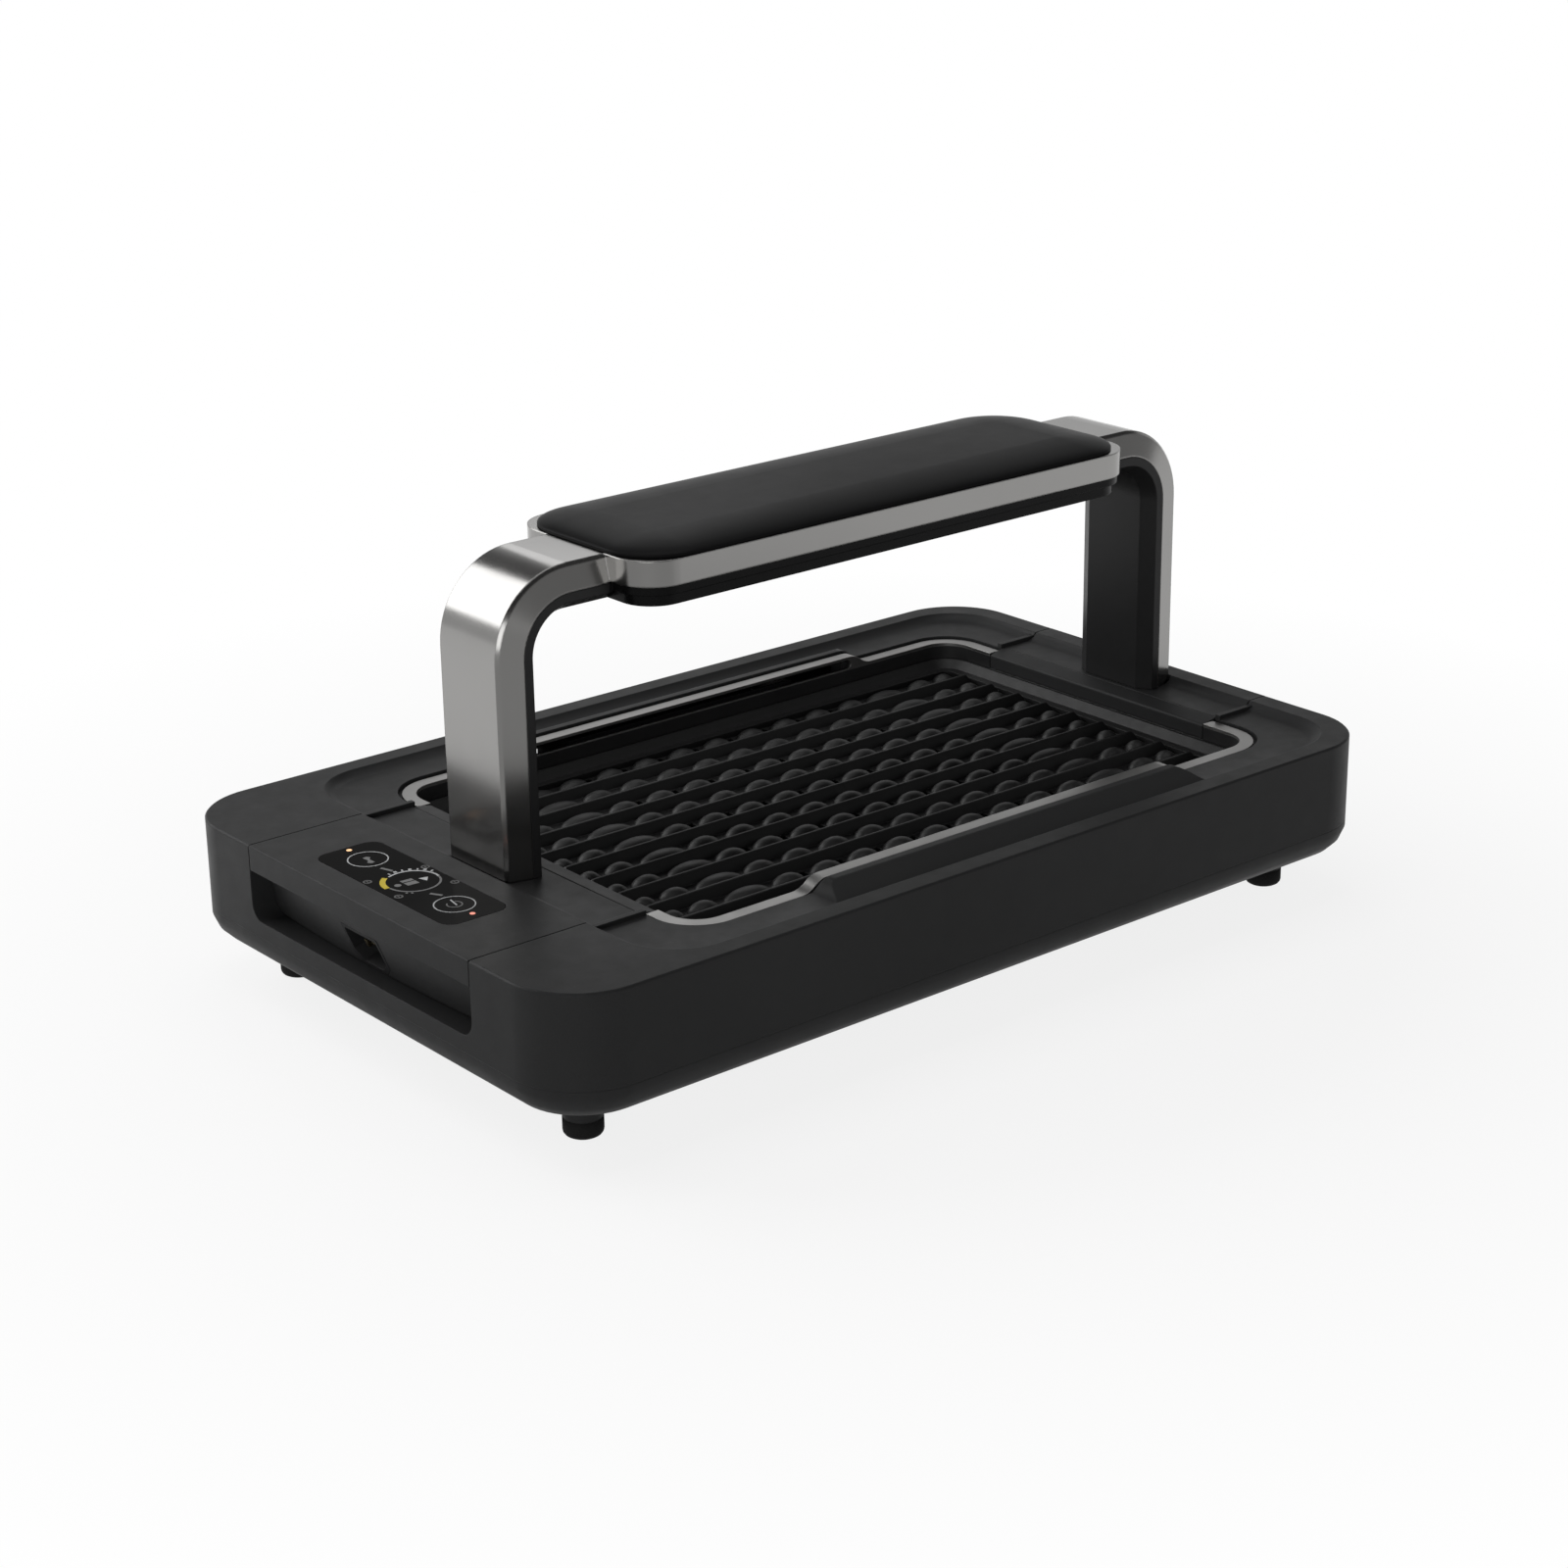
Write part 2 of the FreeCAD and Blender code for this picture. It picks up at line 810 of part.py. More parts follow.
def intake_duct():
    # Flat channel from the front slot down and under the well to the blower
    top = dish_floor - wall - seat_gap
    floor = shell_underside + shell_wall + seat_gap
    roof = pan_floor - pan_thickness - liner_gap - liner_thickness - seat_gap
    front = -inside_tongue()
    riser = -(well_outline[3] + liner_thickness + ledge_width + seat_gap)
    back = blower_section(0)[0] - seat_gap
    inset = blower_wall
    bevel = shell_floor_bevel
    left = pan_centre_x - duct_half_length
    right = pan_centre_x + duct_half_length
    outside = along_x(
        [
            (front, top),
            (front, floor + bevel),
            (front + bevel, floor),
            (back, floor),
            (back, roof),
            (riser, roof),
            (riser, top),
        ],
        [0] * 7,
        left,
        right,
    )
    inside = along_x(
        [
            (front + inset, far),
            (front + inset, floor + bevel + inset / 2),
            (front + bevel + inset / 2, floor + inset),
            (far, floor + inset),
            (far, roof - inset),
            (riser - inset, roof - inset),
            (riser - inset, far),
        ],
        [0] * 7,
        left + inset,
        right - inset,
    )
    inside = inside.common(block(-far, far, -far, back + 1, 0, top + 1))
    return outside.cut(inside)


def plug_box(gap):
    # Left, right, front and back of the plug between the left module and the base
    left = plug_margin - wall_face
    half = plug_width / 2
    return left - gap, left + plug_length + gap, plug_y - half - gap, plug_y + half + gap


def base_socket():
    floor = shell_underside + shell_wall + seat_gap
    top = notch_floor - wall - seat_gap
    body = block(*plug_box(slide_gap + wall), floor, top)
    return body.cut(block(*plug_box(slide_gap), floor + wall, top + 1))


def module_plug():
    bottom = shell_underside + shell_wall + 2 * wall
    top = notch_floor + seat_gap
    return block(*plug_box(0), bottom, top)


def drip_pan():
    step_under = pan_step_height - pan_thickness
    lower_inside = grown(pan_inside, -pan_step_width)
    lower_outside = grown(lower_inside, pan_thickness)
    top = rim_high + 5
    underside = pan_floor - pan_thickness
    outside = prism(pan_outside, step_under, top).fuse(
        chamfered_bottom(lower_outside, underside, step_under + 1, pan_floor_round - pan_thickness)
    )
    inside = prism(pan_inside, pan_step_height, top + 1).fuse(
        rounded_bottom(lower_inside, pan_floor, pan_step_height + 1, pan_floor_round)
    )
    body = outside.common(below_rim(-pan_thickness / 2)).cut(inside)
    rim = prism(rim_outline, rim_top - 5, top).cut(prism(pan_inside, 0, far))
    rim = rim.common(below_rim(0)).cut(below_rim(-pan_thickness))
    body = body.fuse(rim)

    slot_top = rim_high - pan_thickness
    slot = along_y(
        [
            (pan_centre_x - slot_half_length, slot_top - slot_height),
            (pan_centre_x + slot_half_length, slot_top - slot_height),
            (pan_centre_x + slot_half_length, slot_top),
            (pan_centre_x - slot_half_length, slot_top),
        ],
        [slot_height / 2.01] * 4,
        -pan_half_depth - 2 * pan_thickness,
        pan_half_depth + 2 * pan_thickness,
    )
    cuts = [slot]
    cut_bottom = flap_bottom - seat_gap
    for side, half in ((-1, left_module_half), (1, right_module_half)):
        inner = pan_centre_x + side * (pan_half_length - pan_corner)
        outer = pan_centre_x + side * (pan_half_length + 2 * rim_width)
        cuts.append(block(min(inner, outer), max(inner, outer), -half, half, cut_bottom, far))
    return body.cut(Part.makeCompound(cuts)).removeSplitter()


def rib(y):
    half = rib_half_length
    base = rib_base_width / 2
    crest = rib_top_width / 2
    bottom = channel_floor - 1
    slope = (base - crest) / (rib_top - channel_floor)
    spread = base + slope
    section = along_x(
        [(y - spread, bottom), (y + spread, bottom), (y + crest, rib_top), (y - crest, rib_top)],
        [0] * 4,
        pan_centre_x - half,
        pan_centre_x + half,
    )
    lean = rib_end_slope
    side = along_y(
        [
            (pan_centre_x - half, bottom),
            (pan_centre_x + half, bottom),
            (pan_centre_x + half, channel_floor + 1),
            (pan_centre_x + half - lean, rib_top),
            (pan_centre_x - half + lean, rib_top),
            (pan_centre_x - half, channel_floor + 1),
        ],
        [0] * 6,
        y - spread,
        y + spread,
    )
    return section.common(side)


def bump(x, y, length):
    # Low bump on the channel floor that leans in on all sides to a flat crest
    half = length / 2
    bottom = channel_floor - bump_root
    outline = [
        (x - half, bottom),
        (x + half, bottom),
        (x + half, channel_floor),
        (x + half * bump_crest_share, bump_top),
        (x - half * bump_crest_share, bump_top),
        (x - half, channel_floor),
    ]
    reach = bump_base_width / 2
    crest = bump_crest_width / 2
    arch = along_y(outline, [0] * len(outline), y - reach, y + reach)
    wedge = along_x(
        [(y - reach, channel_floor), (y + reach, channel_floor), (y + crest, bump_top), (y - crest, bump_top)],
        [0] * 4,
        x - length,
        x + length,
    )
    root = block(x - half, x + half, y - reach, y + reach, bottom, channel_floor)
    return arch.common(wedge.fuse(root))


def bump_places():
    # Offset along X and length of every bump in one channel
    places = []
    for index in range(-bump_repeats, bump_repeats + 1):
        places.append((index * bump_pitch, bump_length))
    for side in (-1, 1):
        places.append((side * long_bump_offset, long_bump_length))
        places.append((side * (pan_half_length - outer_bump_margin), bump_length))
        places.append((side * (pan_half_length - end_bump_margin), end_bump_length))
    return places


def grill_plate():
    outline = grown(pan_inside, -plate_gap)
    body = prism(outline, plate_underside, plate_frame_top)
    upper = grown(outline, -plate_frame_land)
    lower = grown(upper, -plate_slope)
    tray = Part.makeLoft(
        [outline_wire(lower, plate_border_height), outline_wire(upper, plate_frame_top)], True, True
    )
    field = grown(lower, -plate_border)
    body = body.cut(tray).cut(prism(field, channel_floor, plate_frame_top))
    additions = []
    drains = []
    middle = (rib_count - 1) / 2
    for index in range(rib_count):
        additions.append(rib((index - middle) * rib_pitch))
    for channel in range(rib_count + 1):
        y = (channel - middle - 0.5) * rib_pitch
        for offset, length in bump_places():
            additions.append(bump(pan_centre_x + offset, y, length))
        shift = drain_offset if channel % 2 else -drain_offset
        for index in range(-bump_repeats, bump_repeats):
            x = pan_centre_x + (index + 0.5) * bump_pitch
            drains.append(
                block(
                    x - drain_length / 2,
                    x + drain_length / 2,
                    y + shift - drain_width / 2,
                    y + shift + drain_width / 2,
                    plate_underside - 1,
                    channel_floor + 1,
                )
            )
    return body.multiFuse(additions).cut(Part.makeCompound(drains)).removeSplitter()


def recess_tool(side):
    # Hollow under the end strip, deeper towards both ends and towards the floor
    half = base_depth / 2
    outside = side * (wall_face + 10)

    def wire(height, middle_depth, end_depth):
        middle = Vector(side * (wall_face - middle_depth), 0, height)
        front = Vector(side * (wall_face - end_depth), -left_module_half, height)
        back = Vector(side * (wall_face - end_depth), left_module_half, height)
        points = [back, Vector(outside, half, height), Vector(outside, -half, height), front]
        edges = [Part.Arc(front, middle, back).toShape()]
        for start, end in zip(points, points[1:]):
            edges.append(Part.LineSegment(start, end).toShape())
        return Part.Wire(edges)

    top = deck_height - strip_height
    slope = recess_depth_middle / (top - notch_floor)
    below = 4.0
    return Part.makeLoft(
        [
            wire(notch_floor - below, recess_depth_middle + below * slope, recess_depth_ends),
            wire(top, 0.01, recess_top_depth_ends),
        ],
        True,
        True,
    )


def pocket_top(side):
    # Upper outline of a module in X and Z, from the end face to the pan
    slope_outer = -dish_left if side < 0 else dish_right
    inner = pan_half_length + side * pan_centre_x
    lip = inner + lip_width
    return [
        (wall_face, deck_height),
        (slope_outer, deck_height),
        (slope_outer - dish_slope_break, deck_height - dish_slope_break),
        (slope_outer - dish_slope, dish_floor),
        (lip + lip_groove, dish_floor),
        (lip + lip_groove / 2, dish_floor - lip_groove),
        (lip, dish_floor),
        (inner, rim_top - lip_drop + 0.6),
    ]


def module_solid(side, half):
    points = pocket_top(side)
    inner = points[-1][0]
    under = rim_top - lip_drop - lip_thickness
    pocket = module_inner_x(side) + seat_gap
    points += [
        (inner, flap_bottom),
        (inner + flap_thickness, flap_bottom),
        (inner + flap_thickness, under),
        (pocket, under),
        (pocket, notch_floor + seat_gap),
        (wall_face, notch_floor + seat_gap),
    ]
    radii = [0] * len(points)
    radii[0] = deck_edge_chamfer
    radii[7] = lip_drop
    reach = half - slide_gap
    body = along_y([(side * x, z) for x, z in points], radii, -reach, reach)
    limits, corner = notch_profile(half, slide_gap)
    body = body.common(along_x(limits, corner, -far, far))
    return body.cut(recess_tool(side))


def module_cavity(side, half, gap):
    reach = half - slide_gap - wall - gap
    slope_outer = -dish_left if side < 0 else dish_right
    inner = module_inner_x(side) + seat_gap + wall + gap
    points = [
        (wall_face - wall - gap, 0),
        (wall_face - wall - gap, deck_height - wall),
        (slope_outer, deck_height - wall),
        (slope_outer - dish_slope, dish_floor - wall),
        (inner, dish_floor - wall),
        (inner, 0),
    ]
    body = along_y([(side * x, z) for x, z in points], [0] * 6, -reach, reach)
    for shift in (Vector(-side * (wall + gap), 0, 0), Vector(0, 0, wall)):
        tool = recess_tool(side)
        tool.translate(shift)
        body = body.cut(tool)
    return body


def leg_x(side, depth):
    # X of a point in a leg, at a depth measured from its outer face
    outer = arch_right if side > 0 else arch_left
    return outer - side * depth


def tenon(side, gap, bottom, top):
    # Stub under a leg that drops through the top wall of its module
    start = leg_x(side, arch_wall - gap)
    end = leg_x(side, arch_shell_depth - arch_wall + gap)
    half = tenon_half_width + gap
    return block(min(start, end), max(start, end), -half, half, bottom, top)


def leg_seat(side):
    # Flat seat of a leg where it meets the slope of the dish
    outer = leg_x(side, -seat_gap)
    inner = leg_x(side, arch_shell_depth + seat_gap)
    narrow = arch_face_half + seat_gap
    wide = arch_side_half + seat_gap
    points = [
        Vector(outer, -narrow, dish_floor),
        Vector(inner, -wide, dish_floor),
        Vector(inner, wide, dish_floor),
        Vector(outer, narrow, dish_floor),
    ]
    return Part.Face(Part.makePolygon(points + [points[0]])).extrude(Vector(0, 0, wall_face))


def bolt_x(side):
    return leg_x(side, arch_shell_depth / 2)


def module(side, half):
    body = module_solid(side, half).cut(module_cavity(side, half, 0))
    return body.cut(tenon(side, seat_gap, notch_floor + wall, far)).cut(leg_seat(side))


def panel_outline(gap):
    return (
        panel_centre_x - panel_half_width + gap,
        panel_centre_x + panel_half_width - gap,
        panel_centre_y - panel_half_length + gap,
        panel_centre_y + panel_half_length - gap,
        panel_corner - gap,
    )


def left_module():
    body = module(-1, left_module_half)
    body = body.cut(prism(panel_outline(0), deck_height - panel_thickness, far))
    return body.cut(inlet_prism(inlet_wall + shaft_clearance, -1, inlet_depth + 2)).removeSplitter()


def right_module():
    return module(1, right_module_half).removeSplitter()


def module_base(side, half):
    bottom = notch_floor + seat_gap
    limits, corner = notch_profile(half, slide_gap)
    slab = along_x(limits, corner, -far, far)
    slab = slab.common(block(-far, far, -far, far, bottom, bottom + module_base_thickness))
    return module_cavity(side, half, seat_gap / 2).common(slab)


def left_module_base():
    return module_base(-1, left_module_half).cut(inlet_prism(inlet_wall + seat_gap, -1, inlet_depth))


def right_module_base():
    return module_base(1, right_module_half)


def touch_panel():
    return prism(panel_outline(seat_gap / 2), deck_height - panel_thickness, deck_height)


def control_board():
    # Board under the touch panel with its posts, transformer and relay
    left = panel_centre_x - panel_half_width + board_inset
    right = panel_centre_x + panel_half_width - board_end_inset
    front = panel_centre_y - panel_half_length + board_end_inset
    back = panel_centre_y + panel_half_length - board_end_inset
    top = deck_height - wall - seat_gap
    board_top = top - board_drop
    pieces = [block(left, right, front, back, board_top - board_thickness, board_top)]
    for x in (left, right - board_post):
        for y in (front, back - board_post):
            pieces.append(block(x, x + board_post, y, y + board_post, board_top - overlap, top))
    middle = (left + right) / 2
    under = board_top - overlap
    for length, width, height, y in (
        (transformer_length, transformer_width, transformer_height, transformer_y),
        (relay_length, relay_width, relay_height, relay_y),
    ):
        pieces.append(
            block(
                middle - length / 2,
                middle + length / 2,
                y - width / 2,
                y + width / 2,
                board_top - height,
                under,
            )
        )
    return fused(pieces)


def tilted(shape):
    # The inlet sits square to the sloping wall behind it
    slope = math.degrees(math.atan2(recess_depth_middle, deck_height - strip_height - notch_floor))
    shape.rotate(Vector(inlet_face_x(), 0, inlet_height), Vector(0, 1, 0), -slope)
    return shape


def inlet_face_x():
    top = deck_height - strip_height
    share = (top - inlet_height) / (top - notch_floor)
    return -wall_face + recess_depth_middle * share


def inlet_prism(grow, start, depth):
    half = inlet_width / 2 + grow
    rise = inlet_opening / 2 + grow
    cut = inlet_chamfer
    points = [
        (-half, inlet_height - rise + cut),
        (-half + cut, inlet_height - rise),
        (half - cut, inlet_height - rise),
        (half, inlet_height - rise + cut),
        (half, inlet_height + rise),
        (-half, inlet_height + rise),
    ]
    radii = [0, 0, 0, 0, inlet_corner, inlet_corner]
    face = inlet_face_x()
    return tilted(along_x(points, radii, face + start, face + depth))


def inlet_housing():
    body = inlet_prism(inlet_wall, 0, inlet_depth)
    return body.cut(inlet_prism(0, -1, inlet_depth - inlet_wall))


def inlet_pins():
    pins = []
    face = inlet_face_x()
    for index in range(pin_count):
        y = (index - (pin_count - 1) / 2) * pin_pitch
        rise = 2.0 if index == 1 else -2.0
        pin = block(
            face + 4,
            face + inlet_depth - inlet_wall - shaft_clearance,
            y - 1.0,
            y + 1.0,
            inlet_height + rise - 2.0,
            inlet_height + rise + 2.0,
        )
        pins.append(tilted(pin))
    return Part.makeCompound(pins)


def arch_path(depth, start_height):
    # Centre line of a section at a depth below the outer face, up, over and down again
    left = arch_left + depth
    right = arch_right - depth
    top = arch_top - depth
    radius = arch_corner - depth
    bend = radius * (1 - math.sqrt(0.5))
    points = [
        Vector(left, 0, start_height),
        Vector(left, 0, top - radius),
        Vector(left + bend, 0, top - bend),
        Vector(left + radius, 0, top),
        Vector(right - radius, 0, top),
        Vector(right - bend, 0, top - bend),
        Vector(right, 0, top - radius),
        Vector(right, 0, start_height),
    ]
    return Part.Wire(
        [
            Part.LineSegment(points[0], points[1]).toShape(),
            Part.Arc(points[1], points[2], points[3]).toShape(),
            Part.LineSegment(points[3], points[4]).toShape(),
            Part.Arc(points[4], points[5], points[6]).toShape(),
            Part.LineSegment(points[6], points[7]).toShape(),
        ]
    )


def swept(section, start_height):
    # Section given as depth below the outer face and half width, mirrored about Y = 0
    points = [Vector(arch_left + depth, half, start_height) for depth, half in section]
    points += [Vector(arch_left + depth, -half, start_height) for depth, half in reversed(section)]
    profile = Part.makePolygon(points + [points[0]])
    return arch_path(0, start_height).makePipeShell([profile], True, False)


def head_outline(inset, bottom, top):
    outline = (head_left, head_right, -head_half_depth, head_half_depth, head_corner)
    return prism(grown(outline, -inset), bottom, top)


def head_inside(inset, bottom, top):
    outline = (
        head_left + head_end_margin,
        head_right - head_end_margin,
        -head_half_depth,
        head_half_depth,
        head_inner_corner + head_wall,
    )
    return prism(grown(outline, -inset), bottom, top)


def leg_foot():
    return dish_floor + seat_gap / 2


def arch_shell():
    foot = leg_foot()
    outer = [(0, arch_face_half - arch_edge), (arch_edge, arch_face_half), (arch_shell_depth, arch_side_half)]
    inner = [
        (arch_wall, arch_face_half - arch_wall),
        (arch_shell_depth, arch_side_half - arch_wall),
        (arch_shell_depth + 1, arch_side_half - arch_wall),
    ]
    body = swept(outer, foot).fuse(head_outline(0, arch_top - head_band, arch_top))
    channel = swept(inner, foot - 1)
    channel = channel.common(block(-far, far, -far, far, foot + foot_block, far))
    body = body.cut(channel).cut(head_inside(head_wall, 0, far))
    left = head_left - seat_gap
    right = head_right + seat_gap
    body = body.cut(block(left, right, -far, far, 0, arch_top - head_band))
    for side in (-1, 1):
        body = body.fuse(tenon(side, 0, dish_floor - wall + seat_gap, foot + 1))
        top = dish_floor + bolt_length
        body = body.cut(upright(screw_sides, bolt_x(side), 0, 0, top, bolt_radius + shaft_clearance))
    return body.removeSplitter()


def leg_lining(side):
    # Black inner channel of one leg, ending where the heater head begins
    foot = leg_foot()
    inner = [
        (lining_start - 1, arch_side_half - arch_wall),
        (lining_flush_depth - arch_wall / 2, arch_side_half - arch_wall),
        (lining_depth - arch_wall, lining_face_half - arch_wall / 2),
    ]
    body = swept(lining_section, foot).cut(swept(inner, foot + arch_wall))
    end = (head_right if side > 0 else head_left) + side * seat_gap
    return body.common(block(min(end, side * far), max(end, side * far), -far, far, 0, far))


def left_leg_lining():
    return leg_lining(-1)


def right_leg_lining():
    return leg_lining(1)


def heater_body():
    # Black frame under the silver band, which runs on into the leg linings
    top = arch_top - head_band - seat_gap / 2
    strip = head_outline(body_inset, top - body_strip, top)
    lower = head_outline(body_lower_inset, body_bottom, top - body_strip + overlap)
    necks = swept(lining_section, leg_foot())
    necks = necks.common(block(head_left, head_right, -far, far, body_bottom, top))
    body = strip.fuse(lower).fuse(necks)
    return body.cut(head_inside(body_lower_inset + 2 * head_wall, 0, far)).removeSplitter()


def heater_cover():
    # Pillow-shaped plastic cap over the heater head, low and thin at its edge
    bottom = arch_top + seat_gap / 2
    top = bottom + cover_rise
    half = head_half_depth - cover_side_margin
    outline = (head_left + cover_end_margin, head_right - cover_end_margin, -half, half, cover_corner)
    body = cut_corner(outline, bottom, top, top, cover_rim_across, cover_rim_drop)
    body = body.common(cut_corner(outline, bottom, top, top, cover_pillow_across, cover_pillow_drop))
    hollow = prism(grown(outline, -cover_pillow_across), bottom - 1, top - cover_wall)
    return body.cut(hollow).removeSplitter()


def heater_span():
    inset = body_lower_inset + 2 * head_wall
    return head_left + head_end_margin + inset, head_right - head_end_margin - inset


def reflector():
    # Twin-trough sheet over the tubes
    left, right = heater_span()
    half = head_half_depth - body_lower_inset - 2 * head_wall - seat_gap
    low = body_bottom + reflector_lift
    high = low + reflector_depth
    valley = low + reflector_ridge
    flat = reflector_half
    ridge = [
        (-half, low),
        (-tube_offset - flat, high),
        (-tube_offset + flat, high),
        (0, valley),
        (tube_offset - flat, high),
        (tube_offset + flat, high),
        (half, low),
    ]
    below = [(y, z - math.sqrt(2) * reflector_sheet) for y, z in reversed(ridge)]
    below[0] = (half - reflector_sheet, low)
    below[-1] = (reflector_sheet - half, low)
    radii = [0, reflector_bend, reflector_bend, 0, reflector_bend, reflector_bend, 0] * 2
    return along_x(ridge + below, radii, left + cap_length + seat_gap, right - cap_length - seat_gap)


def heater_tubes():
    left, right = heater_span()
    tubes = []
    for y in (-tube_offset, tube_offset):
        start = left + cap_length
        length = right - left - 2 * cap_length
        tube = lying(tube_sides, start, y, tube_height, tube_radius, length)
        tubes.append(tube.cut(lying(tube_sides, start, y, tube_height, tube_radius - tube_wall, length)))
    return Part.makeCompound(tubes)


def heating_coils():
    left, right = heater_span()
    coils = []
    for y in (-tube_offset, tube_offset):
        length = right - left - 2 * cap_length
        coils.append(lying(screw_sides, left + cap_length, y, tube_height, coil_radius, length))
    return Part.makeCompound(coils)


def tube_caps():
    left, right = heater_span()
    caps = []
    for y in (-tube_offset, tube_offset):
        for start, inward in ((left + seat_gap, 1), (right - seat_gap, -1)):
            end = start + inward * (cap_length - seat_gap)
            cap = block(
                min(start, end), max(start, end), y - cap_half, y + cap_half, tube_height - cap_half, tube_height + cap_half
            )
            caps.append(cap)
    return Part.makeCompound(caps)


def guard_grille():
    # Wire guard in the mouth of the heater body
    left, right = heater_span()
    half = head_half_depth - body_lower_inset - 2 * head_wall - seat_gap
    left += seat_gap
    right -= seat_gap
    bar = grille_bar
    bottom = body_bottom + seat_gap
    corner = head_inner_corner + head_wall - body_lower_inset - 2 * head_wall - seat_gap

    def bevelled(inset):
        # Upright box with its corners cut off where the body's mouth is round
        cut = corner * grille_bevel
        x_far, y_far = right - inset, half - inset
        x_near, y_near = left + inset, inset - half
        points = [
            (x_near + cut, y_near),
            (x_far - cut, y_near),
            (x_far, y_near + cut),
            (x_far, y_far - cut),
            (x_far - cut, y_far),
            (x_near + cut, y_far),
            (x_near, y_far - cut),
            (x_near, y_near + cut),
        ]
        corners = [Vector(x, y, bottom) for x, y in points]
        return Part.Face(Part.makePolygon(corners + [corners[0]])).extrude(Vector(0, 0, bar))

    pieces = [bevelled(0).cut(bevelled(2 * bar))]
    count = int((right - left) / grille_pitch) - 1
    middle = (left + right) / 2
    for index in range(count):
        x = middle + (index - (count - 1) / 2) * grille_pitch
        pieces.append(block(x - bar / 2, x + bar / 2, -half + bar, half - bar, bottom, bottom + bar))
    pieces.append(block(left + bar, right - bar, -bar / 2, bar / 2, bottom, bottom + bar))
    return fused(pieces)


def leg_clamps():
    # Plates that clamp the modules' top walls to the feet of the legs
    clamps = []
    for side in (-1, 1):
        x = bolt_x(side)
        half = arch_shell_depth / 2 + 1
        top = dish_floor - wall - seat_gap / 2
        clamp = block(x - half, x + half, -clamp_half_width, clamp_half_width, top - clamp_thickness, top)
        clamps.append(clamp.cut(upright(screw_sides, x, 0, 0, far, bolt_radius + shaft_clearance)))
    return Part.makeCompound(clamps)


def leg_bolts():
    bolts = []
    for side in (-1, 1):
        x = bolt_x(side)
        head_top = dish_floor - wall - seat_gap / 2 - clamp_thickness
        length = dish_floor + bolt_length - 1 - head_top
        bottom = head_top - bolt_head_height
        bolts.append(hex_bolt(x, 0, bottom, bolt_head_radius, bolt_head_height, bolt_radius, length))
    return Part.makeCompound(bolts)


parts = {
    "base_housing": base_housing,
    "bottom_shell": bottom_shell,
    "foot_pads": foot_pads,
    "case_screws": case_screws,
    "well_liner": well_liner,
    "blower_housing": blower_housing,
    "blower_motor": blower_motor,
    "intake_duct": intake_duct,
    "base_socket": base_socket,
    "blower_rotor": blower_rotor,
    "drip_pan": drip_pan,
    "grill_plate": grill_plate,
    "left_module": left_module,
    "left_module_base": left_module_base,
    "right_module": right_module,
    "right_module_base": right_module_base,
    "touch_panel": touch_panel,
    "control_board": control_board,
    "inlet_housing": inlet_housing,
    "inlet_pins": inlet_pins,
    "module_plug": module_plug,
    "arch_shell": arch_shell,
    "left_leg_lining": left_leg_lining,
    "right_leg_lining": right_leg_lining,
    "heater_cover": heater_cover,
    "heater_body": heater_body,
    "reflector": reflector,
    "heater_tubes": heater_tubes,
    "heating_coils": heating_coils,
    "tube_caps": tube_caps,
    "guard_grille": guard_grille,
    "leg_clamps": leg_clamps,
    "leg_bolts": leg_bolts,
}

os.makedirs("parts", exist_ok=True)
for name, make in parts.items():
    shape = make()
    shape.exportStep(os.path.join("parts", name + ".step"))
    print(name, len(shape.Solids), shape.isValid(), round(shape.Volume))
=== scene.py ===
import math

import bmesh
import bpy
from mathutils import Matrix, Vector


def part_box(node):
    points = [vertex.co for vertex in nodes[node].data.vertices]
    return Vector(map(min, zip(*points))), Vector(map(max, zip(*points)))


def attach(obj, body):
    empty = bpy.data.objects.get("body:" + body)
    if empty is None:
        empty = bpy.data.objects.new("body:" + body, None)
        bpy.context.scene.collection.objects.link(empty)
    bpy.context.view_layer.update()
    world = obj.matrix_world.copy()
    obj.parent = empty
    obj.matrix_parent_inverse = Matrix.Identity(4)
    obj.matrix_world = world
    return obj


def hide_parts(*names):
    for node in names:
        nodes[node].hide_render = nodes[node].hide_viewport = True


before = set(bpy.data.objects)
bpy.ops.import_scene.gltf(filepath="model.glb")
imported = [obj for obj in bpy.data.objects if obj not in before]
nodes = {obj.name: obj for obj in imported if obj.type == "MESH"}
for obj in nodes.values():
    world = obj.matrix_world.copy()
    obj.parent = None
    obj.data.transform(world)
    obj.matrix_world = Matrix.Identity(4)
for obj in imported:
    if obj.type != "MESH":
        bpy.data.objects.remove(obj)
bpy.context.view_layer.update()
print("frame loaded:", len(nodes), "CAD nodes")


# Camera, at the angle and distance of the photograph

camera = {
    "place": (-0.9140, -1.0959, 0.6016),
    "right": (0.76694, -0.64159, -0.01297),
    "up": (0.23178, 0.25811, 0.93790),
    "lens": 72.38,  # millimetres, on a sensor of that width
    "sensor": 36.0,
    "clip": (0.05, 60.0),
}


def setCamera():
    data = bpy.data.cameras.new("studioCamera")
    data.lens = camera["lens"]
    data.sensor_width = camera["sensor"]
    data.clip_start, data.clip_end = camera["clip"]
    holder = bpy.data.objects.new("studioCamera", data)
    bpy.context.scene.collection.objects.link(holder)
    right = Vector(camera["right"]).normalized()
    up = Vector(camera["up"])
    up = (up - right * up.dot(right)).normalized()
    back = right.cross(up)
    turn = Matrix((right, up, back)).transposed().to_4x4()
    holder.matrix_world = Matrix.Translation(camera["place"]) @ turn
    bpy.context.scene.camera = holder


setCamera()


# Small helpers for node materials

